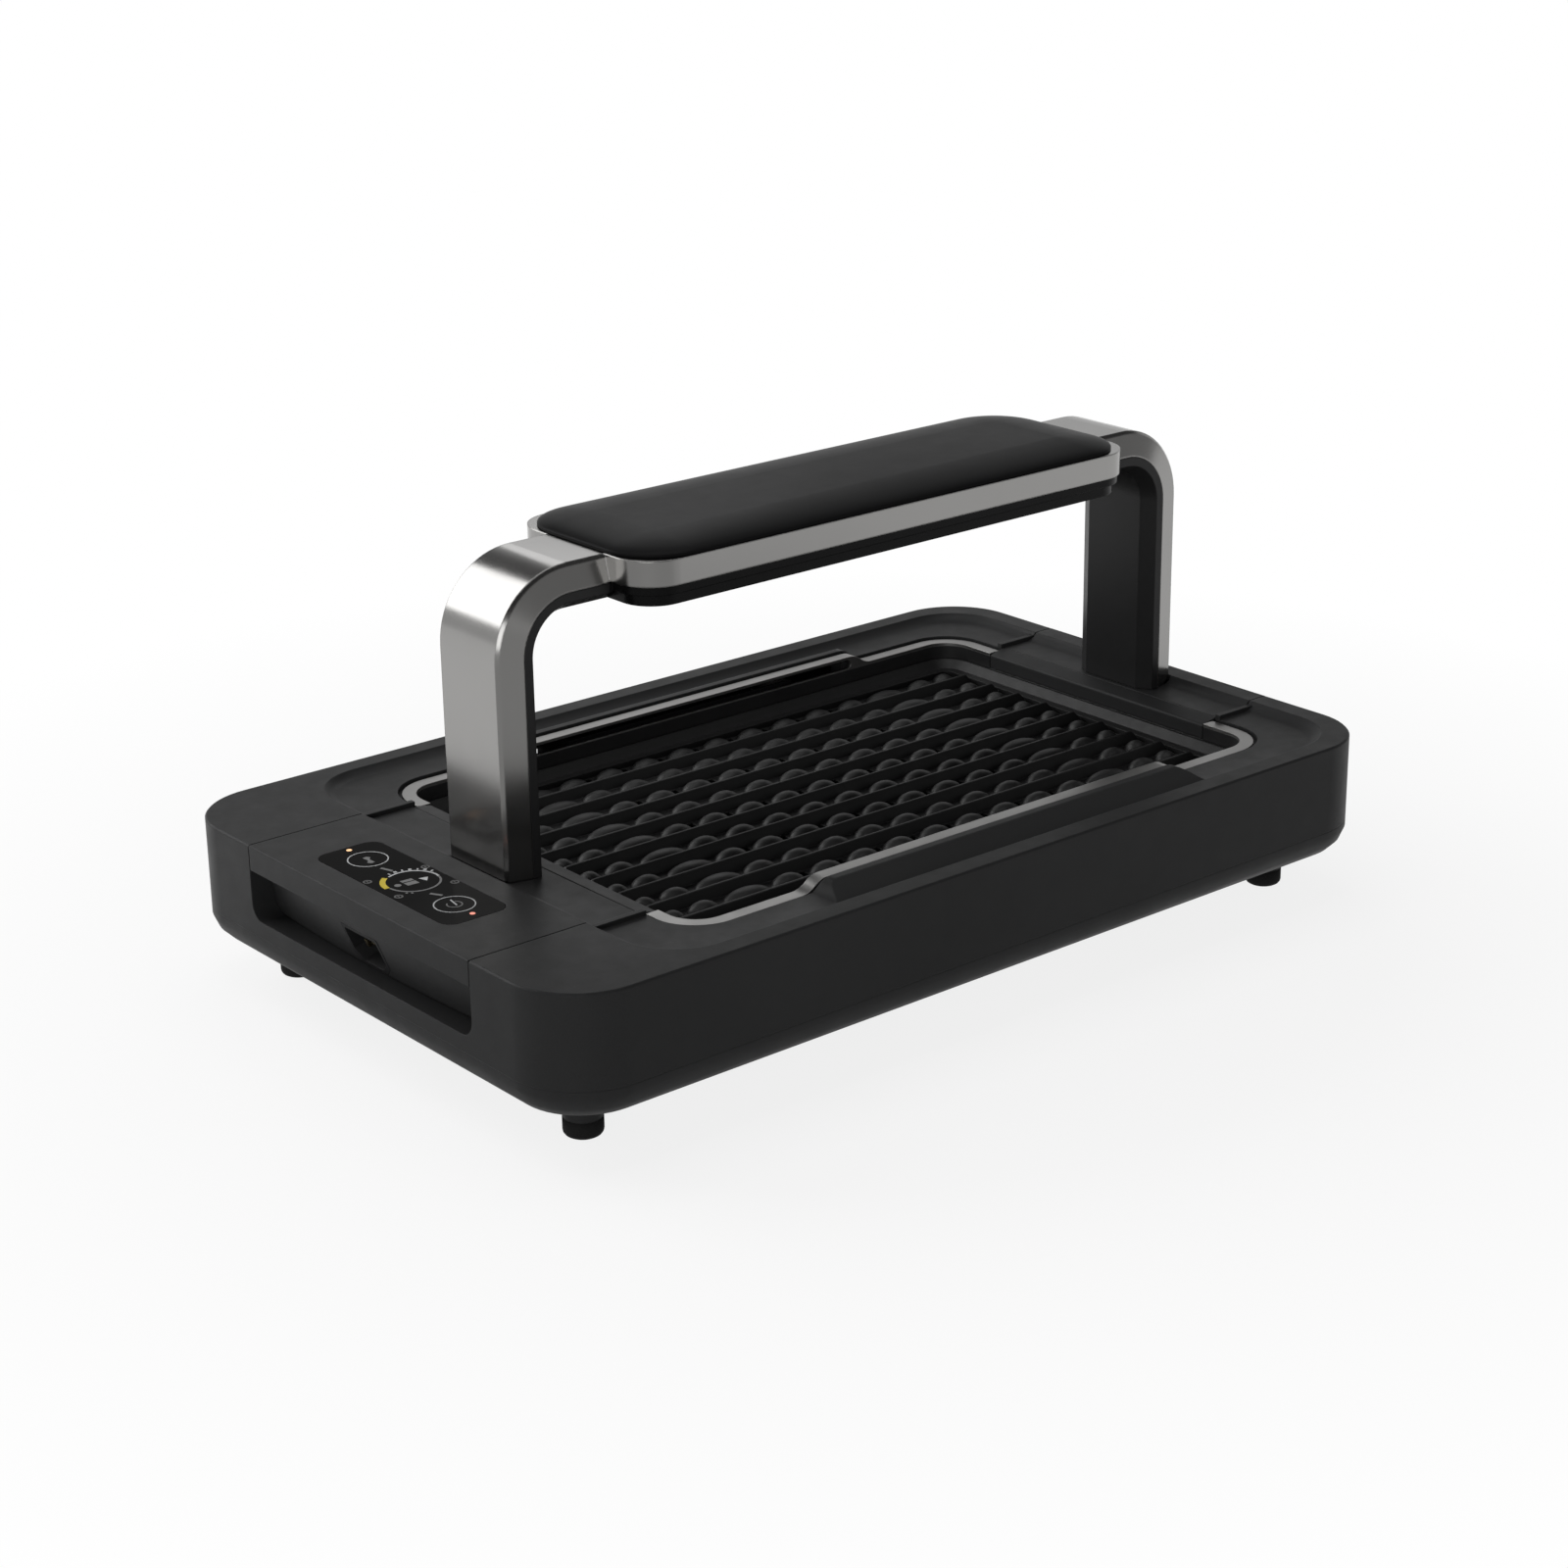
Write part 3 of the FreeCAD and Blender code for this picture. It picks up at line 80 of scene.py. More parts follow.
def startFinish(name):
    finish = bpy.data.materials.new(name)
    finish.use_nodes = True
    tree = finish.node_tree
    tree.nodes.clear()
    out = tree.nodes.new("ShaderNodeOutputMaterial")
    shader = tree.nodes.new("ShaderNodeBsdfPrincipled")
    tree.links.new(shader.outputs["BSDF"], out.inputs["Surface"])
    return finish, tree, shader


def objectCoords(tree, stretch=(1, 1, 1)):
    source = tree.nodes.new("ShaderNodeTexCoord")
    mapping = tree.nodes.new("ShaderNodeMapping")
    mapping.inputs["Scale"].default_value = stretch
    tree.links.new(source.outputs["Object"], mapping.inputs["Vector"])
    return mapping.outputs["Vector"]


def noiseOf(tree, coords, grain, detail=2.0, rough=0.5):
    # grain is the size of one blotch, in metres
    noise = tree.nodes.new("ShaderNodeTexNoise")
    noise.inputs["Scale"].default_value = 1.0 / grain
    noise.inputs["Detail"].default_value = detail
    noise.inputs["Roughness"].default_value = rough
    tree.links.new(coords, noise.inputs["Vector"])
    return noise.outputs["Fac"]


def spread(tree, value, low, high, fromLow=0.3, fromHigh=0.7):
    node = tree.nodes.new("ShaderNodeMapRange")
    node.inputs["From Min"].default_value = fromLow
    node.inputs["From Max"].default_value = fromHigh
    node.inputs["To Min"].default_value = low
    node.inputs["To Max"].default_value = high
    tree.links.new(value, node.inputs["Value"])
    return node.outputs["Result"]


def blendColours(tree, share, first, second):
    node = tree.nodes.new("ShaderNodeMix")
    node.data_type = "RGBA"
    for socket, value in ((node.inputs[6], first), (node.inputs[7], second)):
        if isinstance(value, tuple):
            socket.default_value = (*value, 1.0)
        else:
            tree.links.new(value, socket)
    tree.links.new(share, node.inputs[0])
    return node.outputs[2]


def shaded(colour, factor):
    return tuple(min(1.0, part * factor) for part in colour)


def addRelief(tree, shader, height, strength, depth, under=None):
    bump = tree.nodes.new("ShaderNodeBump")
    bump.inputs["Strength"].default_value = strength
    bump.inputs["Distance"].default_value = depth
    tree.links.new(height, bump.inputs["Height"])
    if under is not None:
        tree.links.new(under, bump.inputs["Normal"])
    tree.links.new(bump.outputs["Normal"], shader.inputs["Normal"])


def softEdge(tree, radius):
    # Rounds the look of a sharp moulded edge
    node = tree.nodes.new("ShaderNodeBevel")
    node.samples = 4
    node.inputs["Radius"].default_value = radius
    return node.outputs["Normal"]


def heightMask(tree, low, high):
    # 0 below low and 1 above high
    source = tree.nodes.new("ShaderNodeTexCoord")
    split = tree.nodes.new("ShaderNodeSeparateXYZ")
    tree.links.new(source.outputs["Object"], split.inputs["Vector"])
    return spread(tree, split.outputs["Z"], 0.0, 1.0, low, high)


def clouded(tree, coords, size, colour, low, high):
    # Slow change of one colour from a darker to a lighter tone
    cloud = spread(tree, noiseOf(tree, coords, size, 3.0), 0.0, 1.0)
    return blendColours(tree, cloud, shaded(colour, low), shaded(colour, high))


# Moulded plastics

charcoalShell = {
    "colour": (0.0230, 0.0232, 0.0236),
    "grain": 0.0006,
    "relief": 0.00002,
    "roughness": (0.42, 0.50),
    "specular": 0.15,
    "edge": 0.0009,
}
innerMoulding = {
    "colour": (0.0120, 0.0120, 0.0125),
    "grain": 0.0009,
    "relief": 0.00003,
    "roughness": (0.50, 0.66),
    "specular": 0.25,
    "edge": 0.0004,
}
satinCover = {
    "colour": (0.0100, 0.0100, 0.0103),
    "grain": 0.0004,
    "relief": 0.0000012,
    "roughness": (0.32, 0.35),
    "specular": 0.026,
    "edge": 0.0005,
}
satinLining = {
    "colour": (0.0170, 0.0170, 0.0174),
    "grain": 0.0005,
    "relief": 0.000004,
    "roughness": (0.34, 0.40),
    "specular": 0.22,
    "edge": 0.0008,
}
# Black plastic of the heater head, its colour darkened below the linings' tone as painted shade under the
# head
headPlasticWithPaintedShade = {
    "colour": (0.0040, 0.0040, 0.0041),
    "grain": 0.0005,
    "relief": 0.000003,
    "roughness": (0.24, 0.30),
    "specular": 0.10,
    "edge": 0.0008,
}
mouldingDetail = {
    "cloud": 0.09,  # size of the slow colour change, in metres
    "tones": (0.93, 1.07),
    "handled": 0.012,  # size of the patches polished by hands
    "fleckShare": 0.12,
    "fleckTone": 2.0,
    "bump": 0.5,
}


def mouldedFinish(name, look):
    finish, tree, shader = startFinish(name)
    coords = objectCoords(tree)
    detail = mouldingDetail
    colour = clouded(tree, coords, detail["cloud"], look["colour"], *detail["tones"])
    spark = noiseOf(tree, coords, look["grain"], 2.0)
    handled = noiseOf(tree, coords, detail["handled"], 4.0, 0.6)
    fleck = spread(tree, spark, 0.0, detail["fleckShare"])
    colour = blendColours(tree, fleck, colour, shaded(look["colour"], detail["fleckTone"]))
    tree.links.new(colour, shader.inputs["Base Color"])
    low, high = look["roughness"]
    tree.links.new(spread(tree, handled, low, high), shader.inputs["Roughness"])
    shader.inputs["Specular IOR Level"].default_value = look["specular"]
    addRelief(tree, shader, spark, detail["bump"], look["relief"], softEdge(tree, look["edge"]))
    return finish


# Metals

satinSilver = {
    "colour": (0.315, 0.311, 0.304),
    "roughness": (0.17, 0.20),
    "grain": 0.0004,
    "relief": 0.0000004,
    "edge": 0.0011,
}
sheetSteel = {"colour": (0.50, 0.50, 0.49), "roughness": (0.28, 0.42), "brush": (30, 900, 900)}
zincPlate = {"colour": (0.55, 0.56, 0.55), "roughness": (0.32, 0.48), "brush": (500, 500, 500)}
motorCan = {"colour": (0.30, 0.30, 0.31), "roughness": (0.35, 0.50), "brush": (400, 60, 400)}
mirrorSheet = {"colour": (0.75, 0.75, 0.74), "roughness": (0.08, 0.16), "brush": (20, 700, 700)}
contactPlate = {"colour": (0.38, 0.32, 0.20), "roughness": (0.22, 0.35), "brush": (900, 900, 900)}
heatingWire = {"colour": (0.23, 0.17, 0.13), "roughness": (0.45, 0.60), "brush": (800, 800, 800)}
brushedDetail = {"cloud": 0.05, "tones": (0.95, 1.05), "bump": 0.35, "relief": 0.000008, "edge": 0.0005}
blastedDetail = {"cloud": 0.06, "tones": (0.975, 1.02), "patch": 0.02, "bump": 0.25}


def metalFinish(name, look):
    # Satin metal with fine brush lines drawn out along one direction
    finish, tree, shader = startFinish(name)
    detail = brushedDetail
    lines = noiseOf(tree, objectCoords(tree, look["brush"]), 1.0, 2.0)
    colour = clouded(tree, objectCoords(tree), detail["cloud"], look["colour"], *detail["tones"])
    tree.links.new(colour, shader.inputs["Base Color"])
    shader.inputs["Metallic"].default_value = 1.0
    low, high = look["roughness"]
    tree.links.new(spread(tree, lines, low, high), shader.inputs["Roughness"])
    addRelief(tree, shader, lines, detail["bump"], detail["relief"], softEdge(tree, detail["edge"]))
    return finish


def satinFinish(name, look):
    # Fine bead-blasted metal, even in all directions
    finish, tree, shader = startFinish(name)
    coords = objectCoords(tree)
    detail = blastedDetail
    colour = clouded(tree, coords, detail["cloud"], look["colour"], *detail["tones"])
    tree.links.new(colour, shader.inputs["Base Color"])
    shader.inputs["Metallic"].default_value = 1.0
    patches = noiseOf(tree, coords, detail["patch"], 4.0)
    tree.links.new(spread(tree, patches, *look["roughness"]), shader.inputs["Roughness"])
    blasted = noiseOf(tree, coords, look["grain"], 2.0)
    addRelief(tree, shader, blasted, detail["bump"], look["relief"], softEdge(tree, look["edge"]))
    return finish


# Cooking surfaces

plateCoating = {
    "colour": (0.0026, 0.0026, 0.0027),
    "fleck": (0.010, 0.010, 0.0105),
    "roughness": (0.46, 0.54),
    "specular": 0.42,
    "fleckSize": 0.0005,
    "fleckShare": 0.6,
    "patch": 0.006,
    "peel": 0.0012,
    "bump": 0.3,
    "relief": 0.000012,
    "edge": 0.0005,
}
panInside = {
    "colour": (0.016, 0.016, 0.0165),
    "roughness": (0.30, 0.40),
    "rimColour": (0.36, 0.356, 0.349),
    "rimStart": 0.0757,
    "rimEnd": 0.0760,
    "cloud": 0.03,
    "darkTones": (0.85, 1.15),
    "rimTones": (0.95, 1.05),
    "patch": 0.02,
    "peel": 0.001,
    "bump": 0.25,
    "relief": 0.000002,
    "edge": 0.0004,
}


def coatingFinish(name, look):
    # Sprayed non-stick coating with fine flecks and a faint orange peel
    finish, tree, shader = startFinish(name)
    coords = objectCoords(tree)
    spots = noiseOf(tree, coords, look["fleckSize"], 1.0)
    flecks = spread(tree, spots, 0.0, look["fleckShare"], 0.60, 0.72)
    colour = blendColours(tree, flecks, look["colour"], look["fleck"])
    tree.links.new(colour, shader.inputs["Base Color"])
    patches = noiseOf(tree, coords, look["patch"], 4.0)
    tree.links.new(spread(tree, patches, *look["roughness"]), shader.inputs["Roughness"])
    shader.inputs["Specular IOR Level"].default_value = look["specular"]
    peel = noiseOf(tree, coords, look["peel"], 2.0)
    addRelief(tree, shader, peel, look["bump"], look["relief"], softEdge(tree, look["edge"]))
    return finish


def panFinish(name, look):
    # Dark coating inside, bare satin metal on the rim
    finish, tree, shader = startFinish(name)
    coords = objectCoords(tree)
    bare = heightMask(tree, look["rimStart"], look["rimEnd"])
    dark = clouded(tree, coords, look["cloud"], look["colour"], *look["darkTones"])
    bright = clouded(tree, coords, look["cloud"], look["rimColour"], *look["rimTones"])
    tree.links.new(blendColours(tree, bare, dark, bright), shader.inputs["Base Color"])
    tree.links.new(bare, shader.inputs["Metallic"])
    patches = noiseOf(tree, coords, look["patch"], 3.0)
    tree.links.new(spread(tree, patches, *look["roughness"]), shader.inputs["Roughness"])
    peel = noiseOf(tree, coords, look["peel"], 2.0)
    addRelief(tree, shader, peel, look["bump"], look["relief"], softEdge(tree, look["edge"]))
    return finish


# Glass, ceramic, rubber, board and printed panel

touchGlass = {
    "colour": (0.0060, 0.0058, 0.0056),
    "roughness": (0.10, 0.16),
    "grain": 0.004,
    "relief": 0.000001,
    "specular": 0.008,
}
footRubber = {
    "colour": (0.0100, 0.0100, 0.0100),
    "roughness": (0.70, 0.85),
    "grain": 0.0006,
    "relief": 0.00004,
    "specular": 0.2,
}
capCeramic = {
    "colour": (0.74, 0.71, 0.64),
    "roughness": (0.60, 0.80),
    "grain": 0.0008,
    "relief": 0.00004,
    "specular": 0.3,
}
greenBoard = {
    "colour": (0.010, 0.075, 0.030),
    "roughness": (0.30, 0.45),
    "grain": 0.0008,
    "relief": 0.00002,
    "specular": 0.5,
}
clearQuartz = {
    "colour": (0.93, 0.93, 0.92),
    "roughness": (0.02, 0.10),
    "haze": 0.004,
    "relief": 0.00002,
    "ior": 1.46,
}
plainDetail = {"cloudGrains": 12, "tones": (0.85, 1.12), "bump": 0.4, "edge": 0.0003}


def plainFinish(name, look):
    finish, tree, shader = startFinish(name)
    coords = objectCoords(tree)
    detail = plainDetail
    size = look["grain"] * detail["cloudGrains"]
    tree.links.new(clouded(tree, coords, size, look["colour"], *detail["tones"]), shader.inputs["Base Color"])
    fine = noiseOf(tree, coords, look["grain"], 3.0)
    tree.links.new(spread(tree, fine, *look["roughness"]), shader.inputs["Roughness"])
    shader.inputs["Specular IOR Level"].default_value = look["specular"]
    addRelief(tree, shader, fine, detail["bump"], look["relief"], softEdge(tree, detail["edge"]))
    return finish


def quartzFinish(name, look):
    finish, tree, shader = startFinish(name)
    coords = objectCoords(tree)
    haze = noiseOf(tree, coords, look["haze"], 3.0)
    tree.links.new(spread(tree, haze, *look["roughness"]), shader.inputs["Roughness"])
    colour = blendColours(tree, spread(tree, haze, 0.0, 1.0), shaded(look["colour"], 0.96), look["colour"])
    tree.links.new(colour, shader.inputs["Base Color"])
    shader.inputs["Transmission Weight"].default_value = 1.0
    shader.inputs["IOR"].default_value = look["ior"]
    addRelief(tree, shader, haze, 0.1, look["relief"])
    return finish


shellFinish = mouldedFinish("charcoalShellPlastic", charcoalShell)
innerFinish = mouldedFinish("innerBlackPlastic", innerMoulding)
coverFinish = mouldedFinish("satinCoverPlastic", satinCover)
liningFinish = mouldedFinish("satinLiningPlastic", satinLining)
headFinishWithPaintedShade = mouldedFinish("headPlasticPaintedShade", headPlasticWithPaintedShade)
silverFinish = satinFinish("satinSilverArch", satinSilver)
steelFinish = metalFinish("sheetSteel", sheetSteel)
zincFinish = metalFinish("zincPlate", zincPlate)
motorFinish = metalFinish("motorCan", motorCan)
mirrorFinish = metalFinish("reflectorSheet", mirrorSheet)
contactFinish = metalFinish("contactPlating", contactPlate)
wireFinish = metalFinish("heatingWire", heatingWire)
plateFinish = coatingFinish("plateCoating", plateCoating)
panMetalFinish = panFinish("panMetal", panInside)
glassFinish = plainFinish("touchPanelGlass", touchGlass)
rubberFinish = plainFinish("footRubber", footRubber)
ceramicFinish = plainFinish("capCeramic", capCeramic)
boardFinish = plainFinish("greenBoard", greenBoard)
quartzTubeFinish = quartzFinish("quartzTube", clearQuartz)


nodeFinishes = {
    "base_housing": shellFinish,
    "bottom_shell": shellFinish,
    "foot_pads": rubberFinish,
    "case_screws": zincFinish,
    "well_liner": steelFinish,
    "blower_housing": innerFinish,
    "blower_motor": motorFinish,
    "intake_duct": innerFinish,
    "base_socket": innerFinish,
    "blower_rotor": innerFinish,
    "drip_pan": panMetalFinish,
    "grill_plate": plateFinish,
    "left_module": shellFinish,
    "left_module_base": innerFinish,
    "right_module": shellFinish,
    "right_module_base": innerFinish,
    "touch_panel": glassFinish,
    "control_board": boardFinish,
    "inlet_housing": innerFinish,
    "inlet_pins": contactFinish,
    "module_plug": innerFinish,
    "arch_shell": silverFinish,
    "left_leg_lining": liningFinish,
    "right_leg_lining": liningFinish,
    "heater_cover": coverFinish,
    "heater_body": headFinishWithPaintedShade,
    "reflector": mirrorFinish,
    "heater_tubes": quartzTubeFinish,
    "heating_coils": wireFinish,
    "tube_caps": ceramicFinish,
    "guard_grille": steelFinish,
    "leg_clamps": steelFinish,
    "leg_bolts": zincFinish,
}


def paint(thing, finish):
    if not thing.data.materials:
        thing.data.materials.append(finish)
    for slot in thing.material_slots:
        slot.material = finish


for name, finish in nodeFinishes.items():
    paint(nodes[name], finish)
print("CAD nodes finished:", len(nodeFinishes))


# Even shading over the narrow bands of the moulded roundings

rounding = {
    "sharpFrom": 28,  # degrees between two faces that stay a crisp edge
    "weld": 0.000001,
    "nodes": (
        "base_housing",
        "bottom_shell",
        "left_module",
        "right_module",
        "drip_pan",
        "heater_body",
        "left_leg_lining",
        "right_leg_lining",
    ),
}


def roundShading():
    group = bpy.data.node_groups.new("roundShading", "GeometryNodeTree")
    for way in ("INPUT", "OUTPUT"):
        group.interface.new_socket("Geometry", in_out=way, socket_type="NodeSocketGeometry")
    start = group.nodes.new("NodeGroupInput")
    end = group.nodes.new("NodeGroupOutput")
    weld = group.nodes.new("GeometryNodeMergeByDistance")
    weld.inputs["Distance"].default_value = rounding["weld"]
    smooth = group.nodes.new("GeometryNodeSetShadeSmooth")
    smooth.domain = "FACE"
    crisp = group.nodes.new("GeometryNodeSetShadeSmooth")
    crisp.domain = "EDGE"
    crisp.inputs["Shade Smooth"].default_value = False
    angle = group.nodes.new("GeometryNodeInputMeshEdgeAngle")
    wide = group.nodes.new("FunctionNodeCompare")
    wide.data_type = "FLOAT"
    wide.operation = "GREATER_THAN"
    wide.inputs["B"].default_value = math.radians(rounding["sharpFrom"])
    group.links.new(start.outputs[0], weld.inputs["Geometry"])
    group.links.new(weld.outputs["Geometry"], smooth.inputs["Geometry"])
    group.links.new(smooth.outputs["Geometry"], crisp.inputs["Geometry"])
    group.links.new(angle.outputs["Unsigned Angle"], wide.inputs["A"])
    group.links.new(wide.outputs["Result"], crisp.inputs["Selection"])
    group.links.new(crisp.outputs["Geometry"], end.inputs[0])
    return group


shadingGroup = roundShading()
for name in rounding["nodes"]:
    even = nodes[name].modifiers.new("roundShading", "NODES")
    even.node_group = shadingGroup
    flats = nodes[name].modifiers.new("flatsStayFlat", "WEIGHTED_NORMAL")
    flats.keep_sharp = True
print("roundings shaded:", len(rounding["nodes"]))


# Helpers for new pieces

# Points closer than this, in metres, are made one
tidyDistance = 1e-7


def pieceFrom(mesh, name, finish, body, smooth=True):
    data = bpy.data.meshes.new(name)
    mesh.to_mesh(data)
    mesh.free()
    for face in data.polygons:
        face.use_smooth = smooth
    thing = bpy.data.objects.new(name, data)
    bpy.context.scene.collection.objects.link(thing)
    data.materials.append(finish)
    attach(thing, body)
    return thing


def loopOf(mesh, points):
    # Closed ring of edges through the points
    corners = [mesh.verts.new(point) for point in points]
    edges = [mesh.edges.new((corners[i - 1], corners[i])) for i in range(len(corners))]
    return corners, edges


def printRing(mesh, centre, radius, width, height, start=0.0, turn=math.tau, steps=40):
    # Thin raised line of print round a centre
    x, y, z = centre
    lean = Vector((math.cos(start), math.sin(start), 0))
    inner = Vector(centre) + lean * (radius - width / 2)
    outer = Vector(centre) + lean * (radius + width / 2)
    lift = Vector((0, 0, height))
    corners, edges = loopOf(mesh, [inner, outer, outer + lift, inner + lift])
    bmesh.ops.spin(
        mesh,
        geom=corners + edges,
        cent=(x, y, z),
        axis=(0, 0, 1),
        angle=turn,
        steps=steps,
        use_merge=turn >= math.tau,
        use_duplicate=False,
    )


def printDisc(mesh, centre, radius, height, segments=20):
    ring = bmesh.ops.create_circle(
        mesh, cap_ends=True, segments=segments, radius=radius, matrix=Matrix.Translation(centre)
    )
    faces = list({face for vert in ring["verts"] for face in vert.link_faces})
    raised = bmesh.ops.extrude_face_region(mesh, geom=faces)
    lifted = [item for item in raised["geom"] if isinstance(item, bmesh.types.BMVert)]
    bmesh.ops.translate(mesh, verts=lifted, vec=(0, 0, height))


def printShape(mesh, centre, points, height):
    # Flat filled outline given round a centre, in millimetres
    x, y, z = centre
    corners = [mesh.verts.new((x + px / 1000, y + py / 1000, z)) for px, py in points]
    face = mesh.faces.new(corners)
    raised = bmesh.ops.extrude_face_region(mesh, geom=[face])
    lifted = [item for item in raised["geom"] if isinstance(item, bmesh.types.BMVert)]
    bmesh.ops.translate(mesh, verts=lifted, vec=(0, 0, height))


def tidyNormals(mesh):
    bmesh.ops.remove_doubles(mesh, verts=mesh.verts[:], dist=tidyDistance)
    bmesh.ops.recalc_face_normals(mesh, faces=mesh.faces[:])


def roundedFace(mesh, low, high, radius, level, steps):
    # Flat face with rounded corners
    spots = ((low.x, low.y), (high.x, low.y), (high.x, high.y), (low.x, high.y))
    corners = [mesh.verts.new((x, y, level)) for x, y in spots]
    mesh.faces.new(corners)
    bmesh.ops.bevel(
        mesh,
        geom=corners,
        offset=radius,
        offset_type="OFFSET",
        segments=steps,
        profile=0.5,
        affect="VERTICES",
        material=-1,
    )
    mesh.faces.ensure_lookup_table()
    return mesh.faces[-1]


def raiseFace(mesh, face, height):
    raised = bmesh.ops.extrude_face_region(mesh, geom=[face], use_keep_orig=True)
    lifted = [item for item in raised["geom"] if isinstance(item, bmesh.types.BMVert)]
    bmesh.ops.translate(mesh, verts=lifted, vec=(0, 0, height))
    return [item for item in raised["geom"] if isinstance(item, bmesh.types.BMFace)][0]


def stepIn(mesh, face, across, rise):
    bmesh.ops.inset_region(
        mesh, faces=[face], thickness=across, depth=rise, use_boundary=True, use_even_offset=True
    )


def turned(mesh, outline, centre, axis, steps):
    # Turns an outline, given as distance along the axis and radius, round the axis
    along = Vector(axis)
    side = Vector((0, 0, 1)) if along.z == 0 else Vector((1, 0, 0))
    points = [Vector(centre) + along * reach + side * radius for reach, radius in outline]
    corners = [mesh.verts.new(point) for point in points]
    edges = [mesh.edges.new(pair) for pair in zip(corners, corners[1:])]
    bmesh.ops.spin(
        mesh,
        geom=corners + edges,
        cent=centre,
        axis=axis,
        angle=math.tau,
        steps=steps,
        use_merge=True,
        use_duplicate=False,
    )


# Pillow-shaped cap over the heater head

pillowCap = {
    "corner": 0.028,
    "cornerSteps": 14,
    "lip": 0.0009,
    # Steps from the lip to the middle: across and up, in millimetres
    "steps": (
        (0.25, 0.35),
        (0.55, 0.35),
        (1.0, 0.42),
        (1.4, 0.45),
        (2.0, 0.5),
        (2.8, 0.55),
        (4.0, 0.66),
        (4.5, 0.55),
        (4.5, 0.42),
        (4.0, 0.25),
        (2.0, 0.08),
    ),
}


def makePillowCap():
    low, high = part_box("heater_cover")
    mesh = bmesh.new()
    face = roundedFace(mesh, low, high, pillowCap["corner"], low.z, pillowCap["cornerSteps"])
    face = raiseFace(mesh, face, pillowCap["lip"])
    for across, rise in pillowCap["steps"]:
        stepIn(mesh, face, across / 1000, rise / 1000)
    tidyNormals(mesh)
    cap = pieceFrom(mesh, "pillowCap", coverFinish, "heater_unit")
    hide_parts("heater_cover")


makePillowCap()


# Cast plate with ribs, domed swellings between them and slots that let the fat through

castPlate = {
    "corner": 0.0148,
    "cornerSteps": 8,
    "borderTop": 0.065,
    "floor": 0.062,
    "land": 0.0012,
    "slope": 0.0043,
    "border": 0.005,
    "floorStep": 0.0003,
    "crispFrom": 40,  # degrees between two faces that stay an edge
    "slots": {"length": 0.0042, "width": 0.0046, "shift": 0.0034, "depth": 0.0026},
    "ribs": {
        "pitch": 0.0206,
        "count": 9,
        "length": 0.335,
        "top": 0.0675,
        "baseWidth": 0.0070,
        "crestWidth": 0.0017,
        "endLean": 0.0045,
        "sink": 0.0006,  # how far the ribs stand in the floor
        "softening": 0.0005,
    },
    "domes": {
        "top": 0.0665,
        "halfWidth": 0.0066,
        "pitch": 0.0226,
        "perSide": 4,  # equal domes left and right of the middle one
        "halfLength": 0.0092,
        # Place along the channel and half length of the domes near each end
        "ends": ((0.1146, 0.0135), (0.1400, 0.0085), (0.1570, 0.0060)),
        "longFrom": 0.010,
        "roundness": 0.72,
        "dent": 0.14,
        "dentSpread": (0.55, 0.45),
        "sink": 0.0001,
        "facets": (14, 8),
        "longFacets": (20, 12),
    },
}


def addRib(mesh, centre):
    look = castPlate["ribs"]
    bottom = castPlate["floor"] - look["sink"]
    height = look["top"] - bottom
    place = Matrix.Translation((centre.x, centre.y, bottom + height / 2))
    size = Matrix.Diagonal((look["length"], look["baseWidth"], height, 1.0))
    bar = bmesh.ops.create_cube(mesh, size=1.0, matrix=place @ size)
    crown = [vert for vert in bar["verts"] if vert.co.z > bottom + height / 2]
    taper = look["crestWidth"] / look["baseWidth"]
    for vert in crown:
        vert.co.y = centre.y + (vert.co.y - centre.y) * taper
        vert.co.x -= math.copysign(look["endLean"], vert.co.x - centre.x)
    ridge = [edge for edge in mesh.edges if edge.verts[0] in crown and edge.verts[1] in crown]
    bmesh.ops.bevel(
        mesh,
        geom=ridge,
        offset=look["softening"],
        offset_type="OFFSET",
        segments=2,
        profile=0.5,
        affect="EDGES",
        material=-1,
    )


def addDome(mesh, centre, halfLength):
    look = castPlate["domes"]
    long = halfLength > look["longFrom"]
    around, upward = look["longFacets"] if long else look["facets"]
    ball = bmesh.ops.create_uvsphere(mesh, u_segments=around, v_segments=upward, radius=1.0)
    under = [vert for vert in ball["verts"] if vert.co.z < -0.001]
    dome = [vert for vert in ball["verts"] if vert.co.z >= -0.001]
    bmesh.ops.delete(mesh, geom=under, context="VERTS")
    rim = [vert for vert in dome if vert.co.z < 0.001]
    height = look["top"] - castPlate["floor"]
    dentX, dentY = look["dentSpread"]
    for vert in dome:
        reach = min(1.0, math.hypot(vert.co.x, vert.co.y))
        rise = (1.0 - reach * reach) ** look["roundness"]
        if long:
            # Shallow dent along the top of the long domes
            rise -= look["dent"] * math.exp(-((vert.co.x / dentX) ** 2) - (vert.co.y / dentY) ** 2)
        vert.co = (
            centre.x + vert.co.x * halfLength,
            centre.y + vert.co.y * look["halfWidth"],
            castPlate["floor"] - look["sink"] + rise * height,
        )
    edges = list({edge for vert in rim for edge in vert.link_edges if edge.is_boundary})
    bmesh.ops.holes_fill(mesh, edges=edges, sides=0)


def channelFloor(mesh):
    level = castPlate["floor"]
    faces = [face for face in mesh.faces if abs(face.calc_center_median().z - level) < 1e-6]
    return [face for face in faces if abs(face.normal.z) > 0.9]


